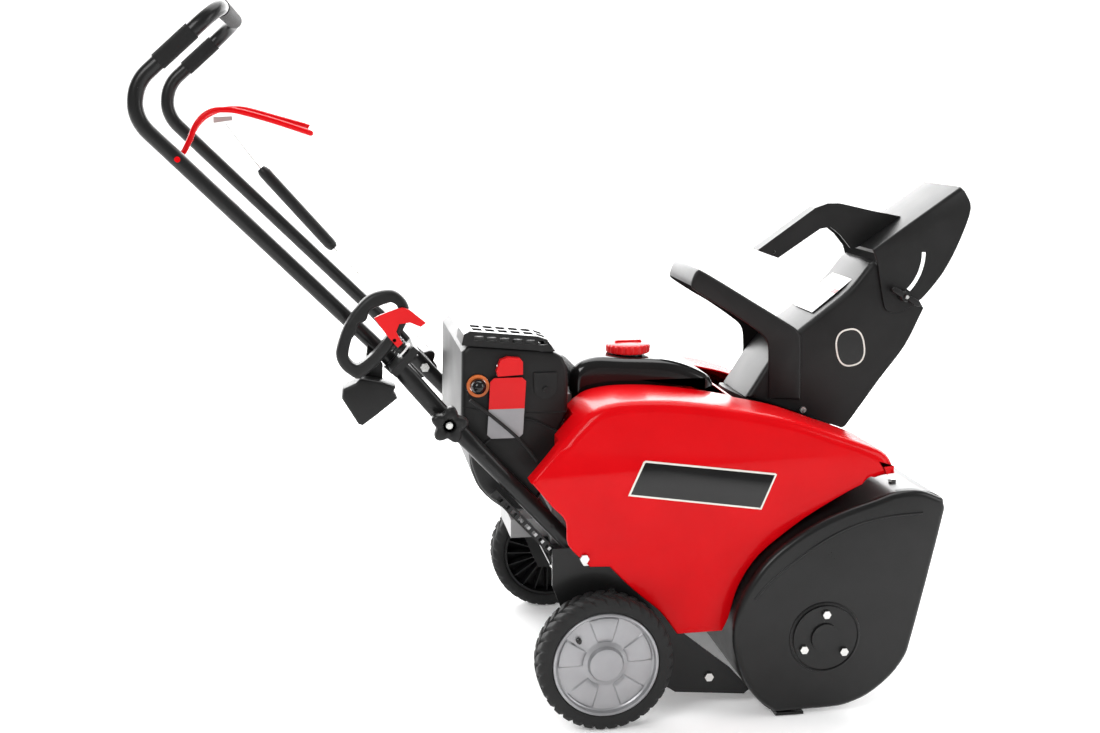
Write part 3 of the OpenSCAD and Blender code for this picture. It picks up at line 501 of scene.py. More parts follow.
for mat_name, group in KEPT.items():
    for node_name in group:
        dress(node_name, mat_name, SOFTEN.get(node_name, PLAIN_SOFTEN))
print("kept", sum(len(g) for g in KEPT.values()))

# %% [markdown]
# ## Wheels
# Solid rubber tyres carry herringbone blocks. The outside of each wheel is a pressed silver disc
# with stepped sectors, and the inside is a black ribbed moulding.

# %% Wheels
WHEEL_R = 101.6
TRACK = 298.0
WHEEL_W = 50.0
BLOCKS = 34


def tread(r, h, t, i):
    """Cuts herringbone grooves into the outer part of the tyre."""
    if r < 93:
        return r, h
    across = abs(h) / (WHEEL_W / 2)
    phase = (t * BLOCKS / (2 * math.pi) + across * 0.9 + (0.5 if h > 0 else 0.0)) % 1.0
    groove = min(abs(phase - 0.5) * 2 / 0.42, 1.0)
    groove = 1.0 - max(0.0, min(1.0, (groove - 0.55) / 0.35))
    centre = max(0.0, 1.0 - abs(h) / 1.6)
    depth = 3.6 * max(groove, centre * 0.9) * min(1.0, (r - 92) / 5)
    return r - depth, h


def tyre_profile():
    half = WHEEL_W / 2
    outer = [(79, half - 4), (81, half - 1.6), (86, half - 0.4), (92, half), (95, half - 0.5),
             (98, half - 2), (100.2, half - 4.5), (101.2, half - 7.5)]
    mid = [(WHEEL_R - 0.35 * abs(h) / 17, h) for h in range(16, -17, -2)]
    return outer + mid + [(r, -h) for r, h in reversed(outer)]


FACE_PROFILE = [(78.9, 20.0), (78.2, 23.0), (76.4, 24.0), (74.4, 23.0), (72.8, 16.4), (70.5, 14.3),
                (69.0, 14.2), (60, 14.2), (50, 14.2), (40, 14.2), (34.5, 14.2), (33, 14.6), (27, 17.0),
                (25.5, 21.0), (24.2, 23.6), (20, 24.4), (10, 24.9), (0.01, 25.0)]


def sectors(r, h, t, i):
    """Alternate sectors of the disc stand 3 mm proud with ramped edges."""
    if not 33.5 < r < 70:
        return r, h
    phase = (t * 10 / (2 * math.pi) + 0.23) % 2.0
    ramp = 0.06
    level = min(max(phase / ramp, 0.0), 1.0) - min(max((phase - 1.0) / ramp, 0.0), 1.0)
    edge = min(1.0, (70 - r) / 2.0, (r - 33.5) / 2.0)
    return r, h + 3.2 * level * edge


for s, side in ((-1, "right"), (1, "left")):
    body = "wheel_" + side
    hub = (0, s * (TRACK - WHEEL_W / 2), WHEEL_R)
    spin("tyre_" + side, tyre_profile(), hub, (0, s, 0), "rubber", body, "tyre_" + side, 408, tread,
         sharp=50.0, closed=True)
    spin("wheel_face_" + side, FACE_PROFILE, hub, (0, s, 0), "silver", body, "wheel_disc_" + side, 400,
         sectors, sharp=28.0)
    back = [(78.9, 20.0), (78.9, -21.0), (75.0, -21.0), (74.0, 8.0), (60.0, 11.0), (24.0, 11.0),
            (22.0, -22.0), (6.45, -22.0), (6.45, 12.0)]
    spin("wheel_back_" + side, back, hub, (0, s, 0), "plastic_black", body, "wheel_disc_" + side, 96,
         replaces=False)
    verts, faces = [], []
    for k in range(20):
        t = 2 * math.pi * k / 20
        ray = Vector((math.cos(t), 0, math.sin(t)))
        off = Vector((-math.sin(t), 0, math.cos(t))) * 1.0
        o = Vector(hub)
        for d in (-1, 1):
            for r, h in ((21, -18), (74.5, -14), (74.5, 10), (21, 12)):
                verts.append(at(*(o + ray * r + off * d + Vector((0, s * h, 0)))))
        b = k * 8
        faces += [(b, b + 1, b + 2, b + 3), (b + 7, b + 6, b + 5, b + 4)]
        faces += [(b + i, b + 4 + i, b + 4 + (i + 1) % 4, b + (i + 1) % 4) for i in range(4)]
    piece("wheel_ribs_" + side, verts, faces, "plastic_black", body, "wheel_disc_" + side,
          replaces=False)
    valve = [(0, 24.0), (3.0, 24.0), (3.0, 20.0), (4.2, 19.0), (4.2, 14.5)]
    spin("valve_" + side, valve, (-40, hub[1], WHEEL_R + 38), (0, s, 0), "gloss_black", body,
         "wheel_disc_" + side, 20, replaces=False)

# %% [markdown]
# ## Hood
# The hood is one red moulding. Its outline is extruded with a rounded crown, hollowed out, and cut
# for the engine, the tank and the well round the chute.

# %% Hood
HOOD = [
    (-106, 371), (-82, 399), (-49, 439), (-22, 467), (0, 480), (41, 486), (103, 484), (175, 474),
    (240, 461), (293, 448), (356, 425), (400, 409), (434, 392), (450, 361), (424, 358), (385, 343),
    (338, 318), (296, 292), (238, 246), (208, 200), (194, 152), (184, 130), (113, 129), (87, 165),
    (61, 188), (36, 211), (10, 239), (-19, 240), (-53, 276), (-57, 312), (-76, 334),
]
SEAT = (338, 0, 414)
TILT = math.radians(19)
SEAT_AXIS = (math.sin(TILT), 0, math.cos(TILT))


def hood_weight(x, z):
    """The crown is rounded far more than the lower edges."""
    top = z > 350 and x > -60
    return 1.0 if top else 0.25


hood_line = smooth_loop(HOOD, 4, 40.0)
weights = [hood_weight(x, z) for x, z in hood_line]
hood = prism("hood_shell", hood_line, -265, 265, "red_gloss", "chassis", "hood", r=16.0, steps=6,
             weights=weights)
hollow = inset(hood_line, [3.0] * len(hood_line))
cut(
    hood,
    slab_cutter([(-40, 200), (60, 150), (180, 90), (260, 180), (330, 270), (420, 330), (430, 352),
                 (300, 400), (-60, 330)], -262, 262),
    slab_cutter([(-140, 330), (-60, 260), (-20, 200), (0, 300), (-60, 372), (-98, 376)], -262, 262),
    cutter(*prism_mesh(hollow, -262, 262, 12.0, 3)),
    slab_cutter([(-140, 420), (-60, 378), (220, 378), (220, 560), (-140, 560)], -132, 132),
    slab_cutter([(-140, 300), (-60, 300), (-60, 440), (-140, 440)], -228, 228),
    slab_cutter([(-140, 296), (-68, 296), (-48, 384), (-34, 440), (-31, 475), (-140, 475)], -192, 148),
    slab_cutter([(225, 438), (450, 360.6), (462, 356.5), (462, 520), (225, 520)], -145, 145),
)
add_bevel(hood, 1.6, 3, 40.0)
floor = [(222, 439), (449, 361), (448, 358), (222, 436)]
well_floor = prism("well_floor", floor, -145, 145, "red_gloss", "chassis", "hood", r=0.2, steps=1,
                   replaces=False)
cut(well_floor, ring_cutter(SEAT, SEAT_AXIS, 76.6, -60, 60))
rim = [(222, 463), (240, 459.5), (293, 446.5), (356, 423.5), (400, 407.5), (432, 391), (447, 361),
       (222, 436)]
for s in (-1, 1):
    a, b = sorted((s * 145, s * 148))
    prism("well_side_" + ("r" if s < 0 else "l"), smooth_loop(rim, 3, 40.0), a, b, "red_gloss",
          "chassis", "hood", r=0.9, steps=2, replaces=False)
prism("well_back", [(220, 436), (223, 435), (223, 463), (220, 463.6)], -148, 148, "red_gloss", "chassis",
      "hood", r=0.5, steps=1, replaces=False)
print("hood", len(hood.data.vertices))

# %% [markdown]
# ## Hood badge
# A plain black parallelogram with a pale border sits on the right side, with no words on it.

# %% Badges
BADGE = [(36.3, 347.4), (58.8, 397.6), (62, 399.4), (258, 372.5), (260.4, 370.4), (238.1, 317.8)]
prism("badge_rim", BADGE, -266.2, -265.2, "off_white", "chassis", "hood_badges", r=0.1, r0=0.4, steps=2)
prism("badge_field", inset(BADGE, [2.8] * len(BADGE)), -266.5, -265.2, "gloss_black", "chassis",
      "hood_badges", r=0.1, r0=0.3, steps=2, replaces=False)

# %% [markdown]
# ## Handles
# The upper handle is one bent tube, flattened where the star knobs clamp it. The lower handle is a
# pair of straight tubes, flattened the same way.

# %% Handle tubes
TUBE_HALF = 228.0
INCLINE = math.radians(42.6)
TOP = (-521, 1039)
CORNER = 45.0
BAR_END = (TOP[0] - CORNER * math.cos(INCLINE), TOP[1] - CORNER * math.sin(INCLINE))


def handle_side(s):
    line = [(-214, s * TUBE_HALF, 450.5), (-221, s * TUBE_HALF, 459), (-276, s * TUBE_HALF, 525)]
    line += [(-284, s * TUBE_HALF, 534.5), (-298, s * TUBE_HALF, 549.5), (-312, s * TUBE_HALF, 563.5)]
    for i in range(19):
        a = math.radians(225 - i * 92.4 / 18)
        line.append((-579.3 + 56 * math.cos(a), s * TUBE_HALF, 910.7 + 56 * math.sin(a)))
    for i in range(13):
        a = math.radians(i * 7.5)
        t = CORNER * math.sin(a)
        line.append((BAR_END[0] + t * math.cos(INCLINE), s * (TUBE_HALF - CORNER * (1 - math.cos(a))),
                     BAR_END[1] + t * math.sin(INCLINE)))
    return line


FLAT = {0: (7.0, 12.5), 1: (7.0, 13.5), 2: (7.0, 13.5), 3: (7.6, 13.2), 4: (9.6, 12.0)}
loop = handle_side(-1) + list(reversed(handle_side(1)))
last = len(loop) - 1
sweep("upper_tube", loop, 11.1, "coat_black", "upper", "upper_handle", 36,
      lambda i: FLAT.get(min(i, last - i), (11.1, 11.1)))


def foam(name, pts, replaces=False):
    verts, faces = sweep_mesh(pts, 12.4, 32)
    return piece(name, verts, faces, "foam", "upper", "foam_grip", 50.0, bevel=0.8, replaces=replaces)


for s, tag in ((-1, "right"), (1, "left")):
    y = s * TUBE_HALF
    foam("foam_" + tag, [(-603.3, y, 964.35), (-556.6, y, 1006.2)], s < 0)
foam("foam_bar", [(TOP[0], -182, TOP[1]), (TOP[0], 182, TOP[1])])


def lower_shape(i):
    return {0: (7.1, 11.5), 1: (7.1, 13), 2: (7.1, 13), 3: (9.5, 13)}.get(i, (12.7, 12.7))


for s, tag in ((-1, "right"), (1, "left")):
    y = s * 213.2
    line = [(-247, y, 488), (-243, y, 483.5), (-206, y, 443), (-192, y, 428), (-180, y, 415),
            (-100, y, 328.3), (-2, y, 222)]
    sweep("lower_tube_" + tag, line, 12.7, "coat_black", "chassis", "lower_handle", 32, lower_shape,
          replaces=s < 0)
sweep("cross_tube", [(-64, -205, 289.2), (-64, 205, 289.2)], 8, "coat_black", "chassis", "lower_handle",
      24, replaces=False)
# Flat rubber-finish discs on the outer faces of the lower tubes stand for open holes: painted shade of each
# hole's inside, not cut openings.
for s in (-1, 1):
    for x, z in ((-170, 404.5), (-69, 295)):
        spin(f"hole_{s}_{-x}", [(0.01, 0.0), (3.2, 0.0), (3.6, -0.4)], (x, s * 225.9, z), (0, s, 0),
             "rubber", "chassis", "lower_handle", 20, replaces=False)
print("handle points", len(loop))

# %% [markdown]
# ## Bail
# A red rod bent from one length swings in both tubes and pulls the clutch wire by its tab.

# %% Bail and wire
BAIL = [
    (-582.5, -240.5, 835.6), (-583.7, -207, 836.7), (-581, -199, 839.5), (-575, -196, 848),
    (-567, -196, 864), (-560, -196, 880), (-549, -196, 893), (-535, -196, 900), (-518, -196, 901),
    (-499, -196, 898.5), (-455, -196, 886), (-416, -195.5, 873), (-407, -193, 870), (-404, -184, 869),
    (-404, -100, 869), (-404, 100, 868.6), (-404, 184, 868.5), (-406, 192, 869.5), (-416, 195.5, 873),
    (-455, 196, 884), (-499, 196, 896.5), (-520, 196, 900), (-543, 196, 899), (-562, 196, 893),
    (-578, 196, 883), (-589, 196, 870), (-595, 196, 859), (-597.9, 199, 852.5), (-598.3, 207, 850.3),
    (-599.5, 240.5, 851.4),
]
sweep("bail", smooth_line(BAIL, 5), 4.0, "red_gloss", "bail", "bail_rod", 18)
sweep("wire_top", smooth_line([(-530.4, 0, 879.3), (-506, 0, 845), (-480, 0, 810)], 6), 1.2, "zinc", "upper",
      "clutch_wire", 10)
sweep("wire_low", smooth_line([(-375, 0, 690), (-304, 0, 611), (-232, 0, 530)], 6), 1.2, "zinc", "upper",
      "clutch_wire", 10, replaces=False)
sleeve = [(-481, 0, 812), (-478, 0, 808.5), (-474, 0, 804), (-381, 0, 697), (-377, 0, 692.5),
          (-374, 0, 689)]
SLEEVE = {0: 6.0, 1: 8.6, 4: 8.6, 5: 6.0}
sweep("sleeve", sleeve, 9.5, "plastic_black", "upper", "spring_cover", 28,
      lambda i: (SLEEVE.get(i, 9.5), SLEEVE.get(i, 9.5)))
throttle = [(-186, -200, 484), (-150, -200, 455), (-118, -200, 426), (-100, -200, 405), (-88, -200, 388)]
sweep("throttle_cable", smooth_line(throttle, 8), 2.5, "rubber", "chassis", "control_cable", 14)

# %% [markdown]
# ## Console, turning grip and knobs
# The console is a folded moulding under the right tube. The loop grip turns the chute, and the
# star knobs clamp the two handles together.

# %% Console and grip
CONSOLE = [
    (-372, 505), (-370, 519), (-352, 527), (-346, 534), (-318, 528), (-297, 519), (-301, 512),
    (-295, 503), (-326, 479), (-344, 466), (-350, 468),
]
prism("console", CONSOLE, -268, -226, "plastic_black", "upper", "console_box", r=4.0)
prism("saddle", [(-340, 531), (-314, 524), (-313, 547), (-334, 575)], -238, -226, "plastic_black",
      "upper", "console_box", r=2.0, replaces=False)
GRIP_O = Vector((-321, -280, 605.5))
TURN = math.radians(42)


def grip_at(x, z):
    return (GRIP_O.x + x * math.cos(TURN) + z * math.sin(TURN),
            GRIP_O.z - x * math.sin(TURN) + z * math.cos(TURN))


GRIP = [(-22, -62), (-35, -35), (-40, -16), (-42, 12), (-37, 34), (-21, 53), (-3, 56), (13, 50),
        (24, 32), (31, 2), (33, -31), (27, -68), (10, -74), (-8, -72)]
HOLE = [(-8, -56), (-20, -36), (-22, -24), (-27, -12), (-23, -1), (-28, 12), (-23, 24), (-13, 41),
        (-2, 44), (6, 39), (13, 26), (18, 2), (19, -31), (14, -56), (4, -60)]
outer = [grip_at(x, z) for x, z in smooth_loop(GRIP, 5, 80.0)]
HOLE_SHRINK = 2.6
hole_line = smooth_loop(HOLE, 5, 80.0)
inner = [grip_at(x, z) for x, z in inset(hole_line, [HOLE_SHRINK] * len(hole_line))]
grip = prism("turning_grip", outer, -292, -268, "plastic_black", "grip", "control_grip", r=7.0, steps=6)
cut(grip, cutter(*prism_mesh(inner, -300, -260, 0.5, 1)))
add_bevel(grip, 3.2, 4, 50.0)
spindle = (math.cos(TURN), 0, -math.sin(TURN))
NECK = [(0.01, 28), (8, 28), (8, 30), (11.6, 30.4), (12, 32), (11.6, 33.8), (9, 34.2), (9, 35.6),
        (11.4, 36), (11.4, 38.2), (9, 38.6), (9, 39.8), (10.6, 40.2), (10.6, 42.4), (8, 42.8), (8, 66.6),
        (0.01, 67)]
spin("grip_neck", NECK, GRIP_O, spindle, "plastic_black", "grip", "control_grip", 40, replaces=False)
spin("neck_washer", [(8.1, 46.0), (12.0, 46.0), (12.0, 48.4), (8.1, 48.4)], GRIP_O, spindle, "white",
     "grip", "control_grip", 40, replaces=False, closed=True)
KNOB = (-222, 460)


def lobes(r, h, t, i):
    if r < 14:
        return r, h
    wave = 0.5 + 0.5 * math.cos(5 * t)
    return r * (0.70 + 0.30 * wave ** 0.8), h


for s, tag in ((-1, "right"), (1, "left")):
    star = [(9, 24.5), (11, 27.4), (14, 28), (20, 28), (24.5, 27), (27, 24.5), (27.5, 21), (27.5, 15),
            (26.8, 11.5), (24, 10.2), (13.9, 10), (13, 9), (13, 0.6), (4.1, 0.5)]
    spin("star_" + tag, star, (KNOB[0], s * 236, KNOB[1]), (0, s, 0), "plastic_black", "knob_" + tag,
         "star_knob_" + tag, 120, lobes)
    nut = [(0.01, 23.6), (5.0, 23.6), (5.6, 23.0), (5.6, 18.0)]
    spin("star_nut_" + tag, nut, (KNOB[0], s * 236, KNOB[1]), (0, s, 0), "zinc", "knob_" + tag,
         "star_knob_" + tag, 24, replaces=False)
print("grip points", len(outer), len(inner))

# %% [markdown]
# ## Engine cover and controls
# The recoil cover is a black moulding with a chamfered top. The primer, key, cap and tank are set
# into it and into the hood.

# %% Engine cover
COVER = [
    (-196, 552), (-186, 561), (-62, 549), (-46, 541), (-39, 522), (-39, 461), (-50, 432), (-60, 384),
    (-74, 342), (-93, 315), (-111, 307), (-141, 316), (-171, 344), (-184, 375), (-187, 400), (-199, 414),
]
cover = prism("recoil_cover", smooth_loop(COVER, 3, 32.0), -185, 140, "plastic_black", "chassis",
              "engine_cover", r=7.0, steps=5, r0=7.0)
cut(cover,
    cutter(*prism_mesh(inset(COVER, [3.0] * len(COVER)), -182, 150, 3.0, 2)),
    ring_cutter((-173, 0, 502), (0, 1, 0), 16.6, -200, -170),
    slab_cutter([(-145, 516), (-111, 516), (-111, 532), (-145, 532)], -200, -170))
add_bevel(cover, 0.8, 2, 45.0)
seam = smooth_line([(-196, -185.6, 470), (-150, -185.8, 463), (-111, -185.8, 459.5), (-60, -185.8, 458),
                    (-41, -185.6, 459)], 6)
sweep("cover_seam", seam, 0.7, "rubber", "chassis", "engine_cover", 8, replaces=False)
bulge = [(-186, 400), (-111, 452), (-52, 430), (-62, 384), (-76, 345), (-95, 318), (-112, 311),
         (-140, 319), (-168, 346), (-181, 376)]
prism("cover_bulge", smooth_loop(bulge, 4, 60.0), -190, -184.5, "plastic_black", "chassis",
      "engine_cover", r=0.5, r0=5.0, steps=5, replaces=False)
spin("primer_bulb", [(0.01, 20.6), (4.5, 19.8), (8.2, 17.4), (10.6, 13.6), (11.6, 9.0), (11.6, 0.0),
                     (0.01, 0.0)], (-173, -185, 502), (0, -1, 0), "gloss_black", "primer", "primer_bulb",
     48)
TANK = [(-22, 448), (-22, 500), (-8, 518), (20, 526), (60, 524), (120, 520), (160, 510), (196, 492),
        (204, 478), (204, 474), (100, 474), (100, 448)]
prism("tank", smooth_loop(TANK, 4, 50.0), -118, 118, "gloss_black", "chassis", "fuel_tank", r=16.0,
      steps=7)


def knurl(r, h, t, i):
    if r < 31 or not 1 < h < 12.5:
        return r, h
    return r + 1.3 * max(0.0, math.cos(24 * t)) ** 0.5, h


CAP = [(21.5, 0.2), (32.5, 0.2), (33, 1.2), (33.2, 2), (33.2, 11), (32.2, 13.2), (29, 14.6), (20, 15.8),
       (8, 16.3), (0.01, 16.4)]
spin("cap_shell", CAP, (76, -70, 526), (0, 0, 1), "red_satin", "cap", "fuel_cap", 240, knurl)
prism("cap_wing", [(54, 541), (98, 541), (96, 545), (90, 545.2), (62, 545.2), (56, 545)], -74, -66,
      "red_satin", "cap", "fuel_cap", r=1.2, replaces=False)
tag_line = [(-161, 430), (-155, 424), (-114, 424), (-108, 430), (-105.6, 468), (-158.4, 468)]
prism("tag_lower", tag_line, -196.5, -195.9, "grey_card", "chassis", "instruction_tag", r=0.1, steps=1)
tag_top = [(-158.4, 468), (-105.6, 468), (-103, 509), (-109, 514.5), (-150, 514.5), (-156, 509)]
prism("tag_upper", tag_top, -196.5, -195.9, "red_satin", "chassis", "instruction_tag", r=0.1, steps=1,
      replaces=False)
print("cover", len(cover.data.vertices))

# %% [markdown]
# ## Chute
# The chute is a bent channel: two side walls and a rounded back. It carries a pale label and an
# oval plate, both left plain.

# %% Chute
CHUTE = [
    (270, 446.5), (431, 391), (438, 395), (493, 471), (533, 524), (562, 584), (548, 604), (478, 662),
    (470, 657), (437, 617), (388, 578), (340, 541), (308, 505), (284, 468),
]
BACK = {0, 7, 8, 9, 10, 11, 12, 13}
chute_line = smooth_loop(CHUTE, 4, 40.0)
chute_weights = spread_weights(len(CHUTE), BACK, 0.0)
chute = prism("chute_channel", chute_line, -70, 70, "plastic_black", "chute", "chute_body", r=9.0,
              steps=6, weights=chute_weights)
front = [(296, 430), (318, 500), (349, 538), (395, 575), (443, 613), (474, 652), (480, 668), (640, 640),
         (560, 440), (470, 448), (434, 397), (426, 380), (300, 400)]
CAP_PIVOT = (474, 672)
SLOT_OUT = 86.6
SLOT_IN = 79.4
SLOT_ANGLE = 58
SLOT_MID = 83
BOLT_ANGLE = math.radians(-53)
CH_BOLT = (CAP_PIVOT[0] + SLOT_MID * math.cos(BOLT_ANGLE), CAP_PIVOT[1] + SLOT_MID * math.sin(BOLT_ANGLE))
cut(chute, slab_cutter(front, -67, 67),
    ring_cutter((CH_BOLT[0], 0, CH_BOLT[1]), (0, 1, 0), 3.2, -90, 90, 24))
add_bevel(chute, 0.8, 2, 40.0)
ARM = [
    (178, 624), (176, 632), (182, 648), (190, 653), (272, 604), (339, 563), (352, 553), (358, 540),
    (360, 440), (306, 444), (304, 523), (299, 541), (282, 556), (243, 583), (211, 602),
]
arm_weights = spread_weights(len(ARM), range(1, 9), 0.35)
arm = prism("turning_arm", smooth_loop(ARM, 4, 75.0), -73.4, 73.4, "plastic_black", "chute",
            "chute_handle", r=4.5, steps=5, weights=arm_weights)
cut(arm, slab_cutter([(150, 600), (179.5, 632), (185, 645), (190.5, 648.5), (270, 600), (326, 565.5),
                      (330.5, 569.5), (345, 580), (375, 548), (375, 425), (290, 420), (200, 560)],
                     -70.1, 70.1))
add_bevel(arm, 0.9, 2, 40.0)
CAP_LINE = [
    (614, 778), (621, 771), (633, 744), (617, 693), (594, 646), (570, 614), (551, 595), (529, 582),
    (512, 578), (497, 583), (491, 599), (486, 623), (479, 660), (471, 680),
]
cap_weights = spread_weights(len(CAP_LINE), (0, 13), 0.15)


def slot_edge(radius, start, sweep_by):
    """Points along one long edge of the deflector's slot, on an arc about its pivot."""
    angles = [math.radians(start + sweep_by * k / 24) for k in range(25)]
    return [(CAP_PIVOT[0] + radius * math.cos(a), CAP_PIVOT[1] + radius * math.sin(a)) for a in angles]


slot_line = slot_edge(SLOT_OUT, 2, -SLOT_ANGLE) + slot_edge(SLOT_IN, -56, SLOT_ANGLE)
deflector = prism("deflector_shell", smooth_loop(CAP_LINE, 4, 60.0), -74.4, 74.4, "plastic_black",
                  "chute_cap", "deflector", r=4.0, steps=5, weights=cap_weights)
cut(deflector,
    slab_cutter([(476.5, 676.4), (617, 774), (670, 760), (650, 560), (480, 560), (465, 600),
                 (462, 668)], -71.4, 71.4),
    slab_cutter(slot_line, -90, 90))
add_bevel(deflector, 0.8, 2, 40.0)
label = [(384, 577.2), (452, 631.4), (451.4, 632.2), (383.4, 578.0)]
prism("chute_label", label, -45, 45, "white", "chute", "chute_body", r=0.1, steps=1, replaces=False)
stripe = [(421, 606.7), (428, 612.2), (427.2, 613.3), (420.2, 607.8)]
prism("chute_label_stripe", stripe, -44, -26, "red_satin", "chute", "chute_body", r=0.1, steps=1,
      replaces=False)
OVAL_C = (441, 523)
OVAL_HALF = (24.5, 31.0)
OVAL_LEAN = math.radians(10)
OVAL_POWER = 0.8
OVAL_RIM = 2.6
oval = []
for t in range(40):
    c, n = math.cos(t * math.pi / 20), math.sin(t * math.pi / 20)
    u = math.copysign(OVAL_HALF[0] * abs(c) ** OVAL_POWER, c)
    v = math.copysign(OVAL_HALF[1] * abs(n) ** OVAL_POWER, n)
    oval.append((OVAL_C[0] + u * math.cos(OVAL_LEAN) - v * math.sin(OVAL_LEAN),
                 OVAL_C[1] + u * math.sin(OVAL_LEAN) + v * math.cos(OVAL_LEAN)))
for s, tag in ((-1, "right"), (1, "left")):
    a, b = sorted((s * 70.1, s * 70.6))
    prism("oval_rim_" + tag, oval, a, b, "off_white", "chute", "chute_body", r=0.2, steps=1, replaces=False)
    a, b = sorted((s * 70.1, s * 70.8))
    prism("oval_" + tag, inset(oval, [OVAL_RIM] * len(oval)), a, b, "gloss_black", "chute",
          "chute_body", r=0.2, steps=1, replaces=False)
wing = [(0.01, -3), (3.1, -3), (3.1, 0), (9, 0), (9, 8), (7, 10), (3.2, 10), (3.2, 9), (0.01, 9)]
spin("wing_hub", wing, (CH_BOLT[0], -77.9, CH_BOLT[1]), (0, -1, 0), "plastic_black", "cap_knob",
     "wing_knob", 40)
for d in (-1, 1):
    ears = []
    for x, z in ((6, -3.5), (14, -5), (25, -4.2), (28.5, 0), (25, 4.2), (14, 5), (6, 3.5)):
        a = math.radians(30)
        ears.append((CH_BOLT[0] + d * (x * math.cos(a) + z * math.sin(a)),
                     CH_BOLT[1] + d * (-x * math.sin(a) + z * math.cos(a))))
    prism("wing_ear_" + ("a" if d < 0 else "b"), smooth_loop(ears, 3, 80.0), -91, -80, "plastic_black",
          "cap_knob", "wing_knob", r=2.0, replaces=False)
print("chute", len(chute.data.vertices))

# %% [markdown]
# ## Auger housing
# Each side plate is a drawn steel dish with a rounded rim. A rolled sheet joins the two, with a
# hole for the discharge neck, and a curved scroll stands behind the paddles.

# %% Housing
SIDE = [
    (262, 6), (232, 30), (211, 62), (199, 96), (193, 130), (199, 168), (216, 208), (244, 246),
    (281, 276), (322, 300), (366, 318), (408, 331), (440, 341), (478, 342), (513, 329), (517, 310),
    (469, 93), (454, 66), (438, 48), (417, 31), (396, 19), (362, 9), (299, 7),
]
SHEET = 2.5
RIM_DEPTH = 17
AUGER_C = (334, 123)
SCROLL_R = 121
side_line = smooth_loop(SIDE, 4, 32.0)
for s, tag in ((-1, "right"), (1, "left")):
    out_y = -289.6 if s < 0 else 265.0
    in_y = out_y - s * RIM_DEPTH
    a, b = sorted((out_y, in_y))
    plate = prism("side_plate_" + tag, side_line, a, b, "coat_black", "chassis", "auger_housing",
                  r=9.0 if s > 0 else 0.2, r0=0.2 if s > 0 else 9.0, steps=6, replaces=s < 0)
    a, b = sorted((out_y - s * SHEET, in_y - s * 9))
    core = inset(side_line, [SHEET] * len(side_line))
    cut(plate, cutter(*prism_mesh(core, a, b, 7.0, 5)))
path = [SIDE[i] for i in list(range(15, -1, -1)) + [22]]
core = inset(SIDE, [SHEET] * len(SIDE))
back = [core[i] for i in list(range(15, -1, -1)) + [22]]
rolled = [tuple(v) for v in smooth_line(path, 4)] + [tuple(v) for v in reversed(smooth_line(back, 4))]
wall = prism("rolled_sheet", rolled, -280, 256, "coat_black", "chassis", "auger_housing", r=0.1, steps=1,
             replaces=False)
cut(wall, ring_cutter(SEAT, SEAT_AXIS, 76.2, -170, 30))
arc = [math.radians(126 + 126 * k / 24) for k in range(25)]
scroll = []
for radius, angles in ((SCROLL_R + SHEET, arc), (SCROLL_R, reversed(arc))):
    scroll += [(AUGER_C[0] + radius * math.cos(a), AUGER_C[1] + radius * math.sin(a)) for a in angles]
prism("scroll", scroll, -286, 261, "coat_black", "chassis", "auger_housing", r=0.1, steps=1,
      replaces=False)
ridge = smooth_line([(224, -289.4, 187), (250, -289.4, 216), (291.8, -289.4, 249), (335, -289.4, 277),
                     (382.4, -289.4, 297), (430, -289.4, 306), (480, -289.4, 309)], 8)
sweep("bead", ridge, 1.8, "coat_black", "chassis", "auger_housing", 14, replaces=False)
ring = [(51, -0.2), (51.6, 1.2), (53.2, 1.8), (54.8, 1.2), (55.4, -0.2)]
spin("bearing_ring", ring, (AUGER_C[0], -289.6, AUGER_C[1]), (0, -1, 0), "coat_black", "chassis",
     "auger_housing", 96, replaces=False)
print("housing", len(wall.data.vertices))

# %% [markdown]
# ## Studio
# A pale sheet runs along the floor and bends up behind the machine. A large light stands in front of
# the raised part, so surfaces that face up or back glow, and smaller lights fill in from the front.

# %% Studio
WORLD_STRENGTH = 0.34
PAPER_GLOW = 0.16
BEND_START = 1.6
BEND_R = 1.5
scene = bpy.context.scene
scene.view_settings.view_transform = "Standard"
world = bpy.data.worlds.new("studio")
scene.world = world
world.use_nodes = True
world.node_tree.nodes["Background"].inputs[0].default_value = (1.0, 1.0, 1.0, 1.0)
world.node_tree.nodes["Background"].inputs[1].default_value = WORLD_STRENGTH

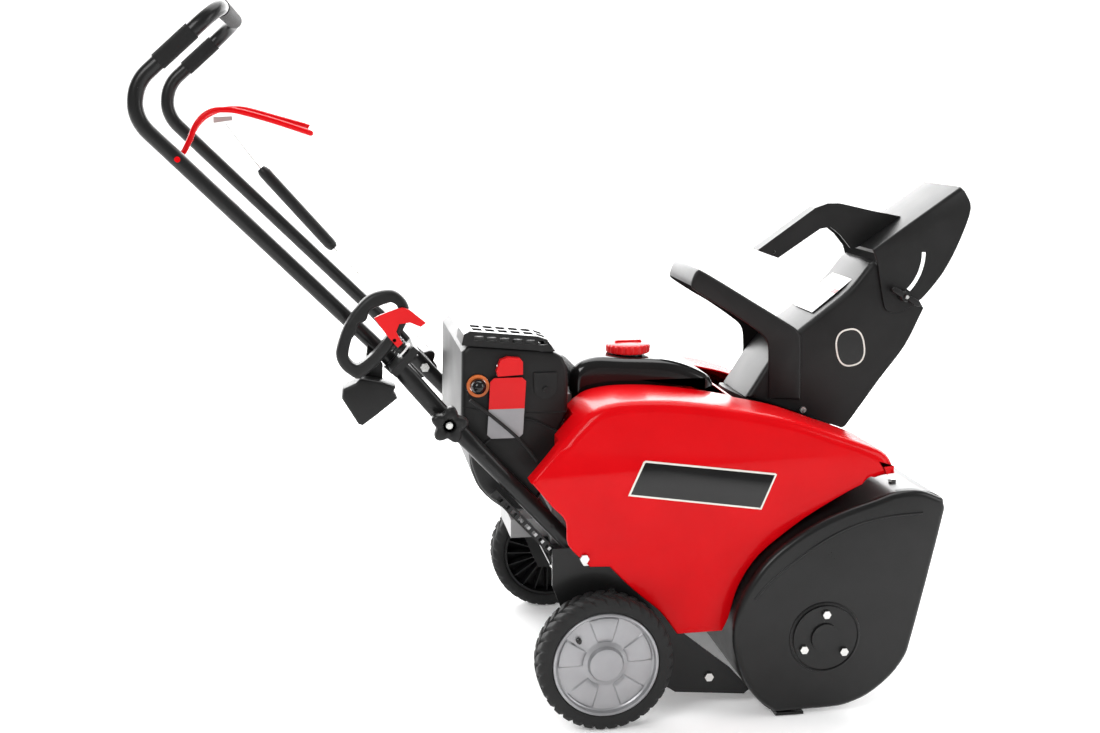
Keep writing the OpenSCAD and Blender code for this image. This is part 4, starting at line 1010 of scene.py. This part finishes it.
paper = Finish("paper")
paper.put("Base Color", (0.9, 0.9, 0.9, 1.0))
paper.put("Roughness", 0.9 + (paper.noise(3.0) - 0.5) * 0.1)
paper.put("Emission Color", (1.0, 1.0, 1.0, 1.0))
paper.put("Emission Strength", PAPER_GLOW)
sweep_line = [(-6.0, 0.0), (BEND_START, 0.0)]
for k in range(1, 17):
    a = math.pi / 2 * k / 16
    sweep_line.append((BEND_START + BEND_R * math.sin(a), BEND_R - BEND_R * math.cos(a)))
sweep_line.append((BEND_START + BEND_R, 7.0))
ground_verts = []
for y, z in sweep_line:
    ground_verts += [(-9, y, z - 0.0005), (9, y, z - 0.0005)]
ground_faces = [(2 * k, 2 * k + 1, 2 * k + 3, 2 * k + 2) for k in range(len(sweep_line) - 1)]
ground_mesh = bpy.data.meshes.new("ground")
ground_mesh.from_pydata(ground_verts, [], ground_faces)
for face in ground_mesh.polygons:
    face.use_smooth = True
ground = bpy.data.objects.new("ground", ground_mesh)
scene.collection.objects.link(ground)
ground_mesh.materials.append(paper.mat)


def light(name, place, target, size, power):
    data = bpy.data.lights.new(name, "AREA")
    data.shape = "RECTANGLE"
    data.size = size[0]
    data.size_y = size[1]
    data.energy = power
    obj = bpy.data.objects.new(name, data)
    obj.location = place
    aim = Vector(target) - Vector(place)
    obj.rotation_euler = aim.to_track_quat("-Z", "Y").to_euler()
    scene.collection.objects.link(obj)


light("key", (-1.8, -2.4, 2.4), (0, 0, 0.4), (1.4, 1.4), 60)
light("fill", (2.6, -1.6, 1.4), (0, 0, 0.4), (1.2, 1.8), 30)
light("top", (0.2, 0.3, 3.0), (0, 0, 0.4), (2.6, 1.6), 60)
light("backdrop", (0.6, 2.9, 2.5), (0.6, 0.0, 2.5), (14.0, 5.0), 1300)

camera_data = bpy.data.cameras.new("camera")
camera_data.sensor_width = 36.0
camera_data.lens = 47.966
camera = bpy.data.objects.new("camera", camera_data)
camera.location = (-0.39629, -2.2842, 0.91752)
camera.rotation_euler = (math.radians(79.603), 0.0, math.radians(-9.1187))
scene.collection.objects.link(camera)
scene.camera = camera
